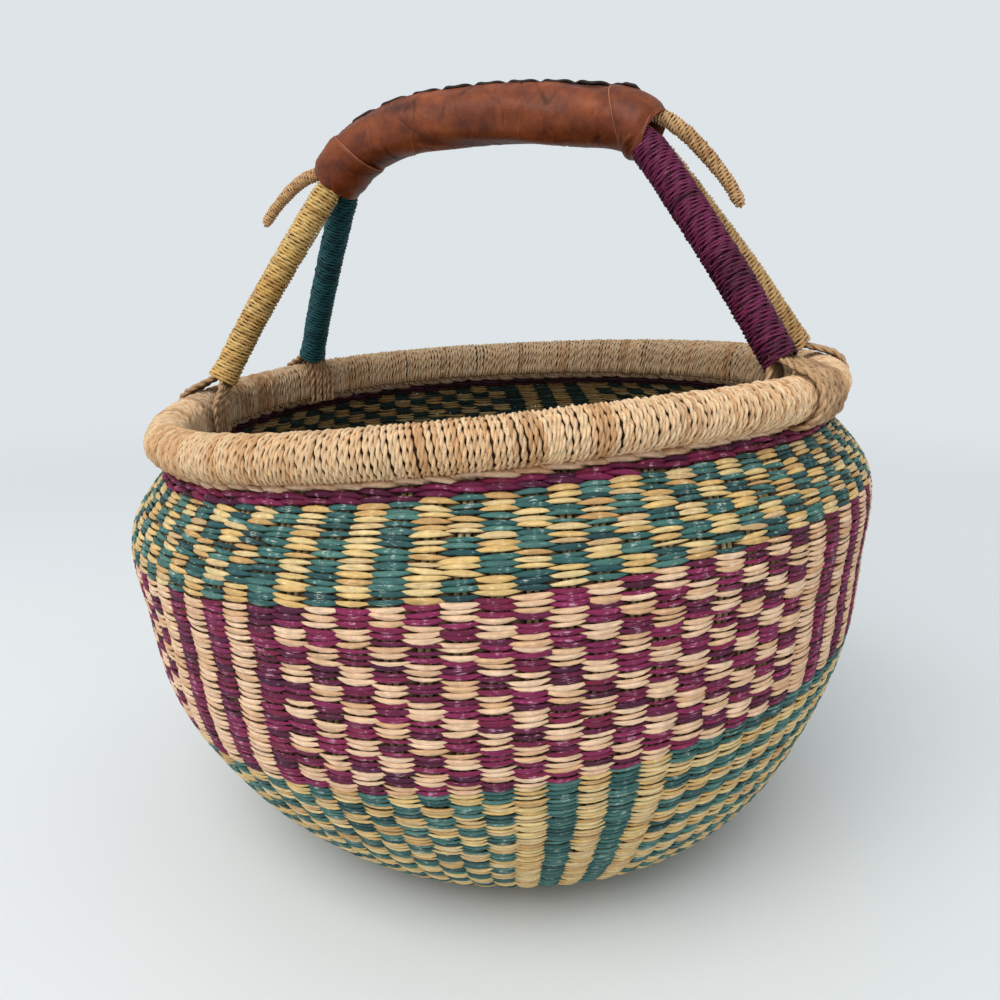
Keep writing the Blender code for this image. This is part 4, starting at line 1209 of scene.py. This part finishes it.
def make_stakes():
    """Pairs of pale straws that stand side by side inside the wall."""
    rng = np.random.default_rng(61)
    turn = np.repeat((np.arange(STAKE_COUNT) + 0.5) * math.tau / STAKE_COUNT, 2)
    side = np.tile((-1, 1), STAKE_COUNT)
    shape = (len(turn), 26)
    centre = turn[:, None] + side[:, None] * COLUMN_PITCH * 0.115 + rng.normal(0, 0.012, shape) * COLUMN_PITCH
    depth = WALL_THICKNESS / 2 + rng.normal(0, 0.00015, shape)
    reach = np.broadcast_to(np.linspace(0.098, TOP_REACH - 0.001, shape[1]), shape)
    radius = np.full(shape, 0.00115)
    strand = rng.random(len(turn))[:, None]
    part = wall_straws(centre, reach, depth, radius, radius, strand, 0.7)
    make_piece("stake_straws", [part], "stake", "straw_core", "stakes")


def make_crossings():
    """Between the stakes every straw passes through the wall, one above another in a ribbed column."""
    rng = np.random.default_rng(62)
    reach = np.arange(0.050, TOP_REACH - 0.0015, ROW_PITCH * 0.60)
    shape = (STAKE_COUNT, len(reach))
    centre = np.arange(STAKE_COUNT)[:, None] * COLUMN_PITCH + rng.normal(0, 0.02, shape) * COLUMN_PITCH
    rib = 1 + 0.10 * np.cos(np.arange(len(reach)) * math.pi)
    reach = np.broadcast_to(reach, shape)
    half_wide = 0.31 * COLUMN_PITCH * np.interp(reach, ARC, ARC_RADIUS) * rib
    half_deep = np.broadcast_to(0.0013 * rib, shape)
    depth = np.full(shape, WALL_THICKNESS / 2)
    part = wall_straws(centre, reach, depth, half_wide, half_deep, rng.random(shape), 0.4)
    # Drawn dark brown, as painted shade between the stakes
    make_piece("crossing_straws", [part], "shade_dark_crossing", "straw_core", "stakes")


# Floor and light

BACKGROUND = (222, 228, 231)
FLOOR_TONES = ((232, 237, 240), (237, 242, 244))
FLOOR_HALF_SIZE = 8.0
FLOOR_DROP = 0.0002


def mix_shaders(tree, factor, first, second, output):
    blend = tree.nodes.new("ShaderNodeMixShader")
    for index, source in enumerate((factor, first, second)):
        tree.links.new(source, blend.inputs[index])
    tree.links.new(blend.outputs[0], tree.nodes[output].inputs["Surface"])


def make_stage():
    nodes = Nodes("pale_floor")
    place = nodes.add("TexCoord", "Object")
    cloud = nodes.noise(place, 1.5, 3.0, 0.5)
    dim, bright = (linear(tone) for tone in FLOOR_TONES)
    nodes.put(nodes.shader.inputs["Base Color"], nodes.ramp(cloud, [(0.3, dim), (0.7, bright)]))
    nodes.shader.inputs["Roughness"].default_value = 0.65
    nodes.shader.inputs["Specular IOR Level"].default_value = 0.3
    away = nodes.tree.nodes.new("ShaderNodeVectorMath")
    away.operation = 'LENGTH'
    nodes.put(away.inputs[0], place)
    far = nodes.part(nodes.ramp(nodes.times(away.outputs["Value"], 0.4), [(0.12, 0.0), (0.7, 1.0)], True), 0)
    paint = nodes.add("Emission", 0, Color=linear(BACKGROUND))
    mix_shaders(nodes.tree, nodes.times(far, nodes.add("LightPath", "Is Camera Ray")),
                nodes.shader.outputs[0], paint, "Material Output")
    mesh = bpy.data.meshes.new("floor")
    size = FLOOR_HALF_SIZE
    mesh.from_pydata([(-size, -size, 0), (size, -size, 0), (size, size, 0), (-size, size, 0)], [],
                     [(0, 1, 2, 3)])
    mesh.materials.append(nodes.material)
    floor = add_object("floor", mesh)
    floor.location.z = -FLOOR_DROP


SKY = (0.95, 0.98, 1.0, 1.0)
SKY_STRENGTH = 0.62
LAMP_SIZE = (1.8, 1.4)
LAMP_WATTS = 33
LAMP_COLOUR = (1.0, 0.985, 0.96)
LAMP_PLACE = (-0.7, -1.3, 1.9)
LAMP_TURN = (math.radians(37), 0, math.radians(-28))


def make_light():
    world = bpy.data.worlds.new("world")
    bpy.context.scene.world = world
    world.use_nodes = True
    tree = world.node_tree
    lit = tree.nodes["Background"]
    seen = tree.nodes.new("ShaderNodeBackground")
    for node, colour, strength in ((lit, SKY, SKY_STRENGTH), (seen, linear(BACKGROUND), 1.0)):
        node.inputs["Color"].default_value = colour
        node.inputs["Strength"].default_value = strength
    path = tree.nodes.new("ShaderNodeLightPath")
    mix_shaders(tree, path.outputs["Is Camera Ray"], lit.outputs[0], seen.outputs[0], "World Output")
    lamp = bpy.data.lights.new("key", 'AREA')
    lamp.shape = 'RECTANGLE'
    lamp.size, lamp.size_y = LAMP_SIZE
    lamp.energy = LAMP_WATTS
    lamp.color = LAMP_COLOUR
    key = add_object("key", lamp)
    key.location = LAMP_PLACE
    key.rotation_euler = LAMP_TURN
    bpy.context.scene.view_settings.view_transform = 'Standard'


def finish_cores():
    for name in ("rim_core", "front_hoop_core", "back_hoop_core", "horn_core"):
        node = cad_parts[name]
        node.data.materials.clear()
        node.data.materials.append(MATERIALS["core"])


def main():
    make_weave()
    make_top_rows()
    make_stakes()
    make_crossings()
    make_rim()
    hoops = (make_hoop(-1, LEFT_FRONT_ANGLE, RIGHT_FRONT_ANGLE),
             make_hoop(1, LEFT_BACK_ANGLE, RIGHT_BACK_ANGLE))
    make_legs(hoops)
    make_horns()
    make_sleeve()
    make_cuff("left_cuff", 0.0, LEFT_CUFF_SHARE, -0.006, 52)
    make_cuff("right_cuff", 1.0 - RIGHT_CUFF_SHARE, 1.0, -0.0045, 53)
    make_lacing()
    for name, foot_angle, hoop, end, *rest in LASHINGS:
        make_lashing(name, foot_angle, hoops[hoop][1][end], *rest)
    finish_cores()
    make_stage()
    make_light()


main()
